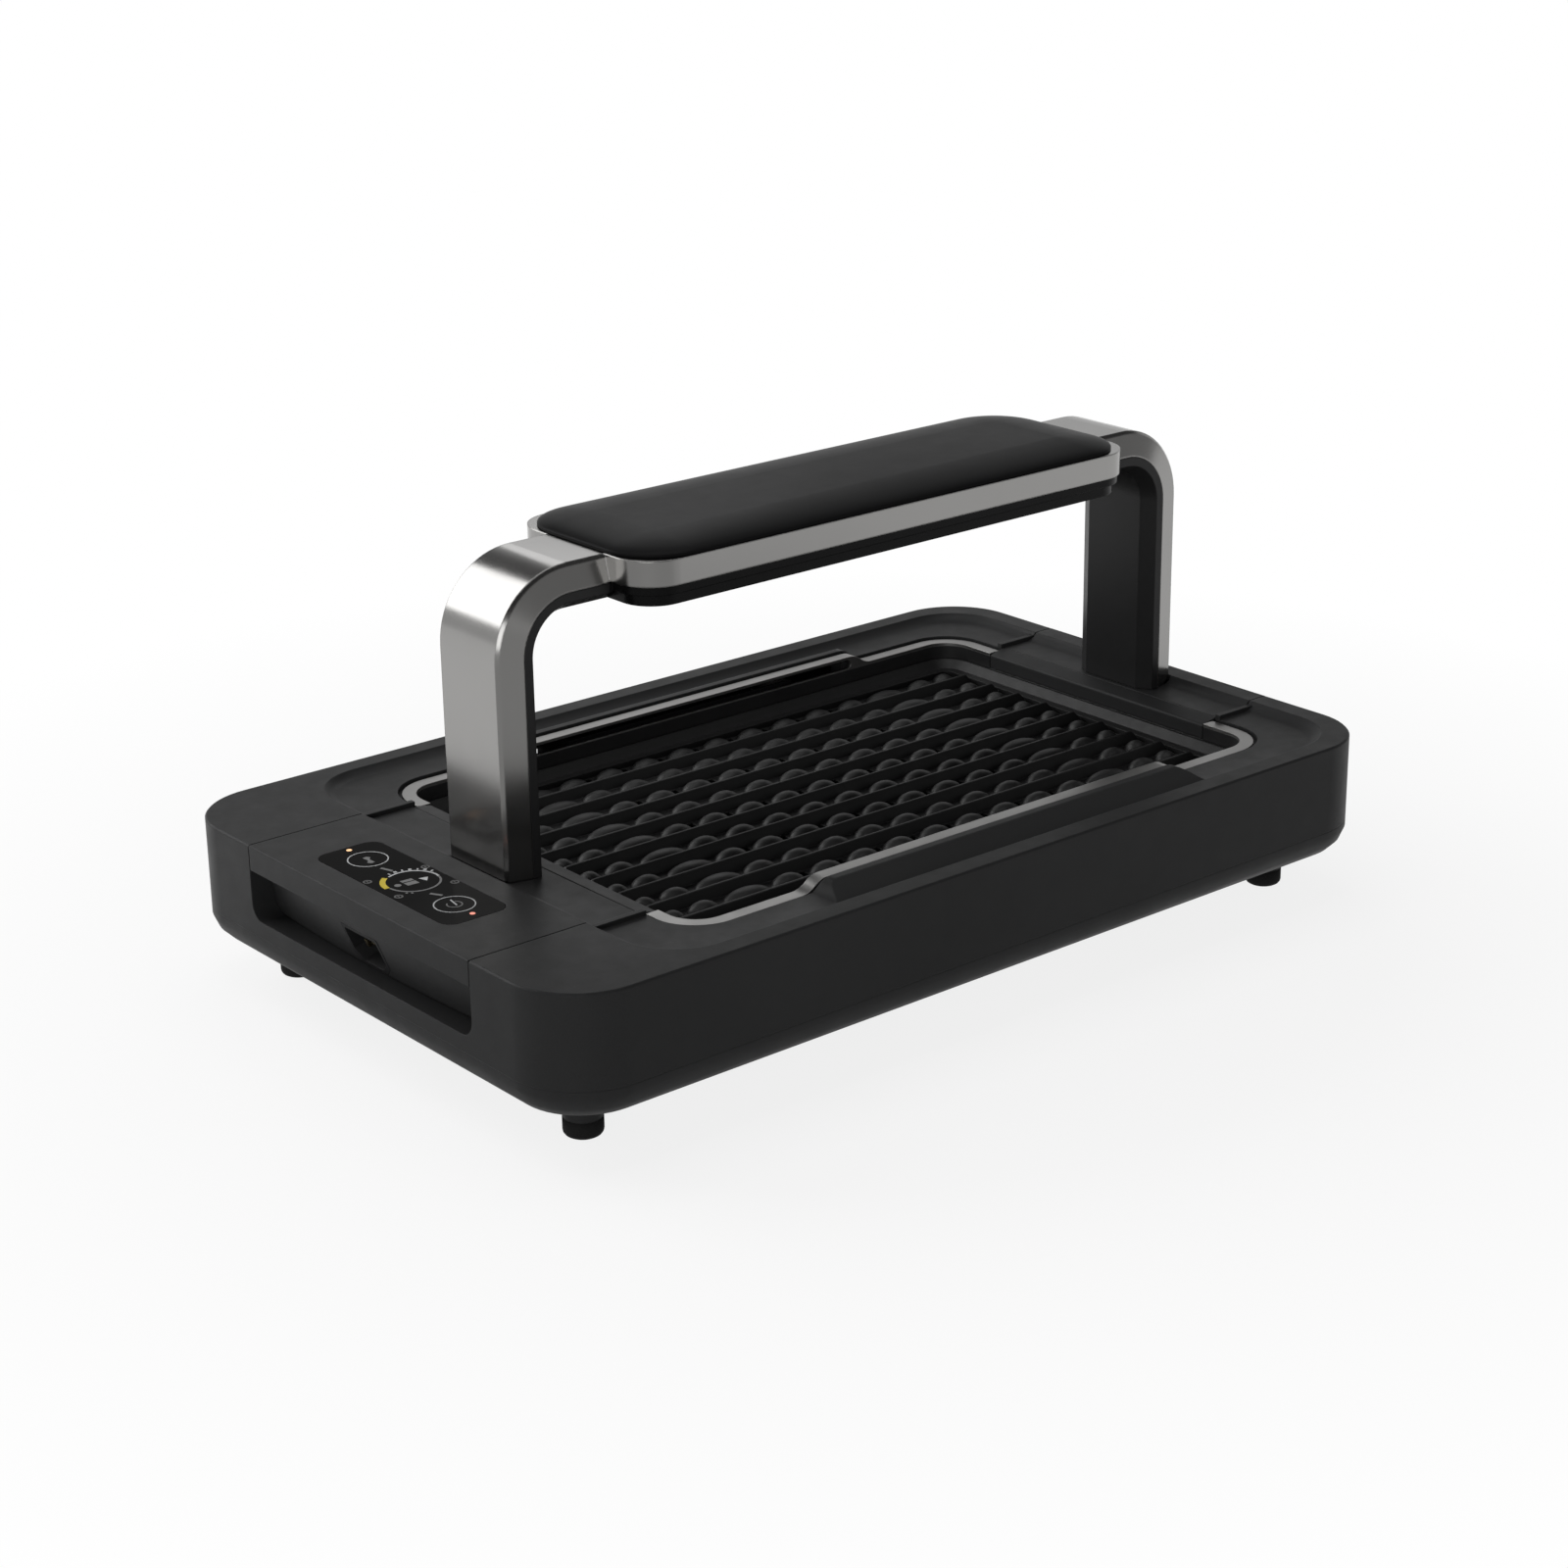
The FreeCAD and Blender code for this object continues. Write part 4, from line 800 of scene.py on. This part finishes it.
def cutSlots(mesh, places):
    # Cuts the channel floor along both sides of every slot, then sinks the slots
    look = castPlate["slots"]
    length, width = look["length"], look["width"]
    xs = sorted({round(x + side * length / 2, 6) for x, y in places for side in (-1, 1)})
    ys = sorted({round(y + side * width / 2, 6) for x, y in places for side in (-1, 1)})
    cuts = [((x, 0, 0), (1, 0, 0)) for x in xs] + [((0, y, 0), (0, 1, 0)) for y in ys]
    for point, normal in cuts:
        faces = channelFloor(mesh)
        parts = set(faces)
        for face in faces:
            parts.update(face.edges)
            parts.update(face.verts)
        bmesh.ops.bisect_plane(mesh, geom=list(parts), dist=tidyDistance, plane_co=point, plane_no=normal)
    holes = []
    for face in channelFloor(mesh):
        middle = face.calc_center_median()
        if any(abs(middle.x - x) < length / 2 and abs(middle.y - y) < width / 2 for x, y in places):
            holes.append(face)
    sunk = bmesh.ops.extrude_discrete_faces(mesh, faces=holes)["faces"]
    verts = list({vert for face in sunk for vert in face.verts})
    bmesh.ops.translate(mesh, verts=verts, vec=(0, 0, -look["depth"]))


def domePlaces():
    # Place along the channel and half length of each dome
    look = castPlate["domes"]
    steps = range(-look["perSide"], look["perSide"] + 1)
    equal = [(look["pitch"] * step, look["halfLength"]) for step in steps]
    return equal + [(side * place, half) for side in (-1, 1) for place, half in look["ends"]]


def makeCastPlate():
    look = castPlate
    low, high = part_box("grill_plate")
    centreX = (low.x + high.x) / 2
    mesh = bmesh.new()
    face = roundedFace(mesh, low, high, look["corner"], low.z, look["cornerSteps"])
    face = raiseFace(mesh, face, high.z - low.z)
    stepIn(mesh, face, look["land"], 0.0)
    stepIn(mesh, face, look["slope"], look["borderTop"] - high.z)
    stepIn(mesh, face, look["border"], 0.0)
    stepIn(mesh, face, look["floorStep"], look["floor"] - look["borderTop"])
    mesh.normal_update()
    ribs, pitch = look["ribs"]["count"], look["ribs"]["pitch"]
    channels = [(index - ribs / 2) * pitch for index in range(ribs + 1)]
    domes = look["domes"]
    slots = []
    for index, y in enumerate(channels):
        shift = look["slots"]["shift"] if index % 2 else -look["slots"]["shift"]
        for step in range(-domes["perSide"], domes["perSide"]):
            slots.append((centreX + (step + 0.5) * domes["pitch"], y + shift))
    cutSlots(mesh, slots)
    tidyNormals(mesh)
    for index in range(ribs):
        addRib(mesh, Vector((centreX, (index - (ribs - 1) / 2) * pitch, 0)))
    for y in channels:
        for place, half in domePlaces():
            addDome(mesh, Vector((centreX + place, y, 0)), half)
    bmesh.ops.recalc_face_normals(mesh, faces=mesh.faces[:])
    crisp = math.radians(look["crispFrom"])
    for edge in mesh.edges:
        edge.smooth = len(edge.link_faces) < 2 or edge.calc_face_angle(0.0) < crisp
    plate = pieceFrom(mesh, "castPlate", plateFinish, "plate")
    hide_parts("grill_plate")


makeCastPlate()
print("cap and plate made")


# Rubber feet, screws, quartz tubes and wound wires

rubberFeet = {
    # Height and radius along the outline, in millimetres
    "outline": (
        (0, 0),
        (0, 6.2),
        (0.25, 7.0),
        (0.9, 8.1),
        (1.8, 8.75),
        (2.8, 8.98),
        (8.5, 8.98),
        (8.5, 0),
    ),
    "place": (0.213, 0.1133),
    "steps": 40,
}
caseScrews = {
    "outline": (
        (1.1, 0),
        (1.1, 1.3),
        (0.15, 1.45),
        (0.15, 2.6),
        (0.45, 3.3),
        (1.0, 3.58),
        (2.4, 3.58),
        (2.4, 2.0),
        (28.4, 2.0),
        (28.4, 0),
    ),
    "place": (0.230, 0.120),
    "steps": 24,
}
heaterTubes = {"sideways": 0.018, "wall": 0.001, "steps": 32}
woundWires = {"radius": 0.00034, "pitch": 0.0024, "sides": 6, "stepsPerTurn": 12}


def turnedAtCorners(look, level):
    # The same turned shape at the four corners of the base
    mesh = bmesh.new()
    outline = [(along / 1000, radius / 1000) for along, radius in look["outline"]]
    x, y = look["place"]
    for sideX in (-1, 1):
        for sideY in (-1, 1):
            turned(mesh, outline, (sideX * x, sideY * y, level), (0, 0, 1), look["steps"])
    tidyNormals(mesh)
    return mesh


def makeFeet():
    feet = pieceFrom(turnedAtCorners(rubberFeet, 0.0), "rubberFeet", rubberFinish, "base")
    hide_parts("foot_pads")


def makeScrews():
    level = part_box("case_screws")[0].z
    screws = pieceFrom(turnedAtCorners(caseScrews, level), "caseScrews", zincFinish, "base")
    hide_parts("case_screws")


def makeTubes():
    look = heaterTubes
    low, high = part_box("heater_tubes")
    middle = (low.z + high.z) / 2
    outer = (high.z - low.z) / 2
    bore = outer - look["wall"]
    length = high.x - low.x
    outline = [(0, bore), (0, outer), (length, outer), (length, bore), (0, bore)]
    mesh = bmesh.new()
    for side in (-1, 1):
        turned(mesh, outline, (low.x, side * look["sideways"], middle), (1, 0, 0), look["steps"])
    tidyNormals(mesh)
    tubes = pieceFrom(mesh, "quartzTubes", quartzTubeFinish, "heater_unit")
    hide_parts("heater_tubes")


def makeWires():
    look = woundWires
    low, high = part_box("heating_coils")
    middle = (low.z + high.z) / 2
    thick = look["radius"]
    reach = (high.z - low.z) / 2 - thick
    turns = int((high.x - low.x - 4 * thick) / look["pitch"])
    mesh = bmesh.new()
    for side in (-1, 1):
        start = Vector((low.x + 2 * thick, side * heaterTubes["sideways"], middle))
        tip = Matrix.Translation(start + Vector((0, 0, reach))) @ Matrix.Rotation(math.pi / 2, 4, "X")
        ring = bmesh.ops.create_circle(
            mesh, cap_ends=False, segments=look["sides"], radius=thick, matrix=tip
        )
        edges = list({edge for vert in ring["verts"] for edge in vert.link_edges})
        bmesh.ops.spin(
            mesh,
            geom=ring["verts"] + edges,
            cent=start,
            axis=(1, 0, 0),
            dvec=(look["pitch"] / look["stepsPerTurn"], 0, 0),
            angle=math.tau * turns,
            steps=look["stepsPerTurn"] * turns,
            use_merge=False,
            use_duplicate=False,
        )
    bmesh.ops.holes_fill(mesh, edges=[edge for edge in mesh.edges if edge.is_boundary], sides=0)
    bmesh.ops.recalc_face_normals(mesh, faces=mesh.faces[:])
    wires = pieceFrom(mesh, "woundWires", wireFinish, "heater_unit")
    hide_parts("heating_coils")


makeFeet()
makeScrews()
makeTubes()
makeWires()
print("feet, screws, tubes and wires made")


# Printed rings, marks and lamps of the touch panel

# Places on the deck are in millimetres and angles in degrees
panelPrint = {
    "proud": 0.00006,
    "sunk": 0.00002,
    "top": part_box("touch_panel")[1].z,
    "backKey": (-218.5, 37.0),
    "dial": (-218.0, 1.5),
    "frontKey": (-219.4, -33.0),
    "backLamp": (-218.9, 51.9),
    "frontLamp": (-219.5, -46.8),
    "lampRadius": 0.0013,
    "keyRadius": 0.0091,
    "keyLine": 0.00055,
    "dialRadius": 0.0123,
    "dialLine": 0.0010,
    # Start and turn of the lit, dim and coloured parts of the dial
    "litArc": (-12, 128),
    "dimArc": (182, 164),
    "powerArc": (124, 56),
    "powerLine": 0.0026,
    "scale": {"marks": 7, "start": 20, "turn": 14, "reach": (1.09, 0.13), "widths": (0.8, 1.5)},
    "pointer": ((-214.5, 2.5), (-212.9, -2.2), (-210.0, 1.4)),
    "startBar": ((-217.9, -27.6), (-219.2, -34.5), 0.7),
    "startRing": {"radius": 0.0034, "line": 0.0006, "arc": (125, 290)},
    "fanShift": (-0.3, -1.2),
    "fanBlade": ((0.5, -0.5), (2.8, -1.9), (4.2, -0.4), (3.6, 1.5), (0.6, 0.8)),
    "fanTurn": 80,
    "fanHub": 0.0008,
    "display": (-219.7, 1.6),
    "displayLines": (
        ((-2.9, 1.1), (2.9, 0.7), (2.9, 3.1), (-2.9, 3.5)),
        ((-2.9, -3.3), (2.9, -3.7), (2.9, -0.1), (-2.9, 0.3)),
    ),
    # Place and radius of the dots beside the display
    "dots": (((-225.9, 1.5), 0.0016, 14), ((-227.8, -8.4), 0.0006, 8), ((-225.9, -10.0), 0.0006, 8)),
    "keyBars": (((-220.1, 24.0), (-218.1, 17.6), 1.6), ((-220.5, -15.7), (-217.6, -21.0), 1.6)),
    "sideSigns": ((-233.6, 14.0), (-204.4, 12.0), (-204.7, -11.7), (-232.7, -9.5)),
    "sideRing": (0.0017, 0.0008),
    "sideStroke": ((-0.35, -0.9), (0.35, -0.9), (0.35, 0.9), (-0.35, 0.9)),
}
inkDetail = {"grain": 0.0008, "tone": 0.85, "glowTone": 0.9, "roughness": (0.45, 0.60)}


def inkFinish(name, colour, glow=0.0):
    finish, tree, shader = startFinish(name)
    detail = inkDetail
    cloud = spread(tree, noiseOf(tree, objectCoords(tree), detail["grain"], 2.0), 0.0, 1.0)
    ink = blendColours(tree, cloud, shaded(colour, detail["tone"]), colour)
    tree.links.new(ink, shader.inputs["Base Color"])
    low, high = detail["roughness"]
    tree.links.new(spread(tree, cloud, low, high, 0.0, 1.0), shader.inputs["Roughness"])
    if glow:
        light = blendColours(tree, cloud, shaded(colour, detail["glowTone"]), colour)
        tree.links.new(light, shader.inputs["Emission Color"])
        shader.inputs["Emission Strength"].default_value = glow
    return finish


whiteInk = inkFinish("panelWhiteInk", (0.62, 0.63, 0.64))
greyInk = inkFinish("panelGreyInk", (0.19, 0.19, 0.19))
dimInk = inkFinish("panelDimInk", (0.10, 0.10, 0.10))
yellowInk = inkFinish("panelYellowArc", (0.60, 0.46, 0.01), 0.15)
amberLamp = inkFinish("amberLamp", (0.95, 0.55, 0.28), 0.9)
redLamp = inkFinish("redLamp", (0.90, 0.32, 0.24), 0.7)


def at(place, shift=(0, 0)):
    x, y = ((base + move) / 1000 for base, move in zip(place, shift))
    return (x, y, panelPrint["top"] - panelPrint["sunk"])


def printArc(mesh, place, radius, width, arc, steps):
    start, turn = (math.radians(angle) for angle in arc)
    printRing(mesh, at(place), radius, width, panelPrint["proud"], start, turn, steps)


def printBar(mesh, start, end, width):
    # Straight mark from one place on the deck to another
    start, end = Vector(start), Vector(end)
    along = (end - start).normalized()
    side = Vector((-along.y, along.x)) * width / 2
    points = [start - side, end - side, end + side, start + side]
    printShape(mesh, at((0, 0)), [tuple(point) for point in points], panelPrint["proud"])


def inkPiece(mesh, name, ink):
    tidyNormals(mesh)
    pieceFrom(mesh, name, ink, "heater_unit", False)


def makeRings():
    look = panelPrint
    mesh = bmesh.new()
    for key in ("backKey", "frontKey"):
        printRing(mesh, at(look[key]), look["keyRadius"], look["keyLine"], look["proud"])
    # Lit part of the dial with its scale marks
    printArc(mesh, look["dial"], look["dialRadius"], look["dialLine"], look["litArc"], 24)
    scale = look["scale"]
    begin, reach = scale["reach"]
    for index in range(scale["marks"]):
        angle = math.radians(scale["start"] + index * scale["turn"])
        spoke = Vector((math.cos(angle), math.sin(angle))) * 1000 * look["dialRadius"]
        start = Vector(look["dial"]) + spoke * begin
        printBar(mesh, start, start + spoke * reach, scale["widths"][index % 2])
    printShape(mesh, at((0, 0)), look["pointer"], look["proud"])
    printBar(mesh, *look["startBar"])
    inkPiece(mesh, "panelRings", whiteInk)


def makeSigns():
    look = panelPrint
    proud = look["proud"]
    mesh = bmesh.new()
    printArc(mesh, look["dial"], look["dialRadius"], look["dialLine"], look["dimArc"], 28)
    # Fan sign of the back key: two blades round a hub
    hub = at(look["backKey"], look["fanShift"])
    for index in range(2):
        turn = Matrix.Rotation(math.radians(180 * index + look["fanTurn"]), 2)
        blade = [tuple(turn @ Vector(point)) for point in look["fanBlade"]]
        printShape(mesh, hub, blade, proud)
    printDisc(mesh, hub, look["fanHub"], proud * 1.3, 12)
    # Display field of the dial with two lines and dots beside it
    for points in look["displayLines"]:
        printShape(mesh, at(look["display"]), points, proud)
    for place, radius, sides in look["dots"]:
        printDisc(mesh, at(place), radius, proud, sides)
    for start, end, width in look["keyBars"]:
        printBar(mesh, start, end, width)
    # Broken ring of the front key's start sign
    ring = look["startRing"]
    printArc(mesh, look["frontKey"], ring["radius"], ring["line"], ring["arc"], 24)
    inkPiece(mesh, "panelSigns", greyInk)


def makeSideSigns():
    look = panelPrint
    radius, line = look["sideRing"]
    mesh = bmesh.new()
    for place in look["sideSigns"]:
        printRing(mesh, at(place), radius, line, look["proud"], 0.0, math.tau, 18)
        printShape(mesh, at(place), look["sideStroke"], look["proud"])
    inkPiece(mesh, "panelSideSigns", dimInk)


def makePowerArc():
    look = panelPrint
    mesh = bmesh.new()
    radius = look["dialRadius"] + look["dialLine"]
    printArc(mesh, look["dial"], radius, look["powerLine"], look["powerArc"], 12)
    inkPiece(mesh, "panelPowerArc", yellowInk)


def makeLampDot(name, place, ink):
    mesh = bmesh.new()
    printDisc(mesh, at(panelPrint[place]), panelPrint["lampRadius"], panelPrint["proud"] * 2, 20)
    inkPiece(mesh, name, ink)


makeRings()
makeSigns()
makeSideSigns()
makePowerArc()
makeLampDot("amberLampDot", "backLamp", amberLamp)
makeLampDot("redLampDot", "frontLamp", redLamp)
print("touch panel printed")


# Studio: white floor and backdrop for the camera, dimmer room for reflections, soft lamps

studio = {
    "floorSize": 24.0,
    "floorColour": (0.93, 0.93, 0.93),
    "floorCloud": 0.8,
    "floorTone": 0.995,
    "floorRoughness": 0.9,
    "floorSpecular": 0.1,
    # Share of plain white the camera sees near the grill, and the distances where it grows to 1
    "floorNear": 0.84,
    "nearFade": (0.28, 0.62),
    # How bright metal sees the floor in front, from left to right, and where that changes
    "floorInFront": (0.50, 0.86),
    "frontFade": (0.05, 0.60),
    # The same behind the grill, from front to back
    "floorBehind": 1.0,
    "behindFade": (-0.05, 0.25),
    "wall": 0.68,  # brightness of the low part of the sky behind
    "ceiling": 0.12,
    "wallTop": (0.40, 0.52),  # sine of the height where the wall fades out
    "front": 0.42,  # share of that light in front
    "turnFade": (-0.35, 0.35),
    "aim": (0.0, 0.0, 0.12),  # where all lamps point
}
lamps = {
    "rearSoftbox": {"place": (-0.76, 1.38, 1.11), "size": (1.24, 1.15), "power": 14.8},
    "coverGlow": {"place": (0.42, 0.72, 0.66), "size": (0.30, 0.30), "power": 0.27},
    "topSoftbox": {"place": (0.0, 0.25, 2.0), "size": (2.0, 1.2), "power": 11.0},
    "frontFill": {"place": (-1.7, -1.3, 0.55), "size": (1.3, 0.9), "power": 9.0},
}


def joined(tree, operation, first, second):
    node = tree.nodes.new("ShaderNodeMath")
    node.operation = operation
    tree.links.new(first, node.inputs[0])
    tree.links.new(second, node.inputs[1])
    return node.outputs[0]


def setFloor():
    mesh = bmesh.new()
    bmesh.ops.create_grid(mesh, x_segments=4, y_segments=4, size=studio["floorSize"] / 2)
    data = bpy.data.meshes.new("studioFloor")
    mesh.to_mesh(data)
    mesh.free()
    floor = bpy.data.objects.new("studioFloor", data)
    bpy.context.scene.collection.objects.link(floor)
    finish, tree, shader = startFinish("floorPaint")
    paintColour = studio["floorColour"]
    cloud = spread(tree, noiseOf(tree, objectCoords(tree), studio["floorCloud"], 2.0), 0.0, 1.0)
    colour = blendColours(tree, cloud, shaded(paintColour, studio["floorTone"]), paintColour)
    tree.links.new(colour, shader.inputs["Base Color"])
    shader.inputs["Roughness"].default_value = studio["floorRoughness"]
    shader.inputs["Specular IOR Level"].default_value = studio["floorSpecular"]
    # The camera sees plain white floor, with part of the lit floor mixed in near the
    # grill for its shadow. Metal sees the floor dimmer in front than behind.
    out = [node for node in tree.nodes if node.type == "OUTPUT_MATERIAL"][0]
    source = tree.nodes.new("ShaderNodeTexCoord")
    split = tree.nodes.new("ShaderNodeSeparateXYZ")
    tree.links.new(source.outputs["Object"], split.inputs["Vector"])
    length = tree.nodes.new("ShaderNodeVectorMath")
    length.operation = "LENGTH"
    tree.links.new(source.outputs["Object"], length.inputs[0])
    rays = tree.nodes.new("ShaderNodeLightPath")
    seen = rays.outputs["Is Camera Ray"]
    far = spread(tree, length.outputs["Value"], studio["floorNear"], 1.0, *studio["nearFade"])
    direct = joined(tree, "MULTIPLY", seen, far)
    glossy, through = rays.outputs["Is Glossy Ray"], rays.outputs["Is Transmission Ray"]
    mirrored = joined(tree, "MAXIMUM", glossy, through)
    share = joined(tree, "MAXIMUM", direct, mirrored)
    inFront = spread(tree, split.outputs["X"], *studio["floorInFront"], *studio["frontFade"])
    behind = spread(tree, split.outputs["Y"], 0.0, studio["floorBehind"], *studio["behindFade"])
    depth = joined(tree, "MAXIMUM", inFront, behind)
    glow = tree.nodes.new("ShaderNodeEmission")
    tree.links.new(joined(tree, "MAXIMUM", seen, depth), glow.inputs["Strength"])
    mix = tree.nodes.new("ShaderNodeMixShader")
    tree.links.new(share, mix.inputs[0])
    tree.links.new(shader.outputs["BSDF"], mix.inputs[1])
    tree.links.new(glow.outputs["Emission"], mix.inputs[2])
    tree.links.new(mix.outputs["Shader"], out.inputs["Surface"])
    data.materials.append(finish)


def setSky():
    world = bpy.data.worlds.new("studioSky")
    bpy.context.scene.world = world
    world.use_nodes = True
    tree = world.node_tree
    tree.nodes.clear()
    out = tree.nodes.new("ShaderNodeOutputWorld")
    sky = tree.nodes.new("ShaderNodeBackground")
    tree.links.new(sky.outputs["Background"], out.inputs["Surface"])
    source = tree.nodes.new("ShaderNodeTexCoord")
    split = tree.nodes.new("ShaderNodeSeparateXYZ")
    tree.links.new(source.outputs["Generated"], split.inputs["Vector"])
    climb = spread(tree, split.outputs["Z"], studio["wall"], studio["ceiling"], *studio["wallTop"])
    turn = spread(tree, split.outputs["Y"], studio["front"], 1.0, *studio["turnFade"])
    light = joined(tree, "MULTIPLY", climb, turn)
    # The camera sees the backdrop plain white
    rays = tree.nodes.new("ShaderNodeLightPath")
    sky.inputs["Color"].default_value = (1, 1, 1, 1)
    tree.links.new(joined(tree, "MAXIMUM", light, rays.outputs["Is Camera Ray"]), sky.inputs["Strength"])


def setLamps():
    for name, look in lamps.items():
        data = bpy.data.lights.new(name, "AREA")
        data.shape = "RECTANGLE"
        data.size, data.size_y = look["size"]
        data.energy = look["power"]
        lamp = bpy.data.objects.new(name, data)
        lamp.visible_camera = False
        bpy.context.scene.collection.objects.link(lamp)
        lamp.location = look["place"]
        aim = Vector(studio["aim"]) - Vector(look["place"])
        lamp.rotation_mode = "QUATERNION"
        lamp.rotation_quaternion = aim.to_track_quat("-Z", "Y")


setFloor()
setSky()
setLamps()
bpy.context.scene.view_settings.view_transform = "Standard"
print("studio set")
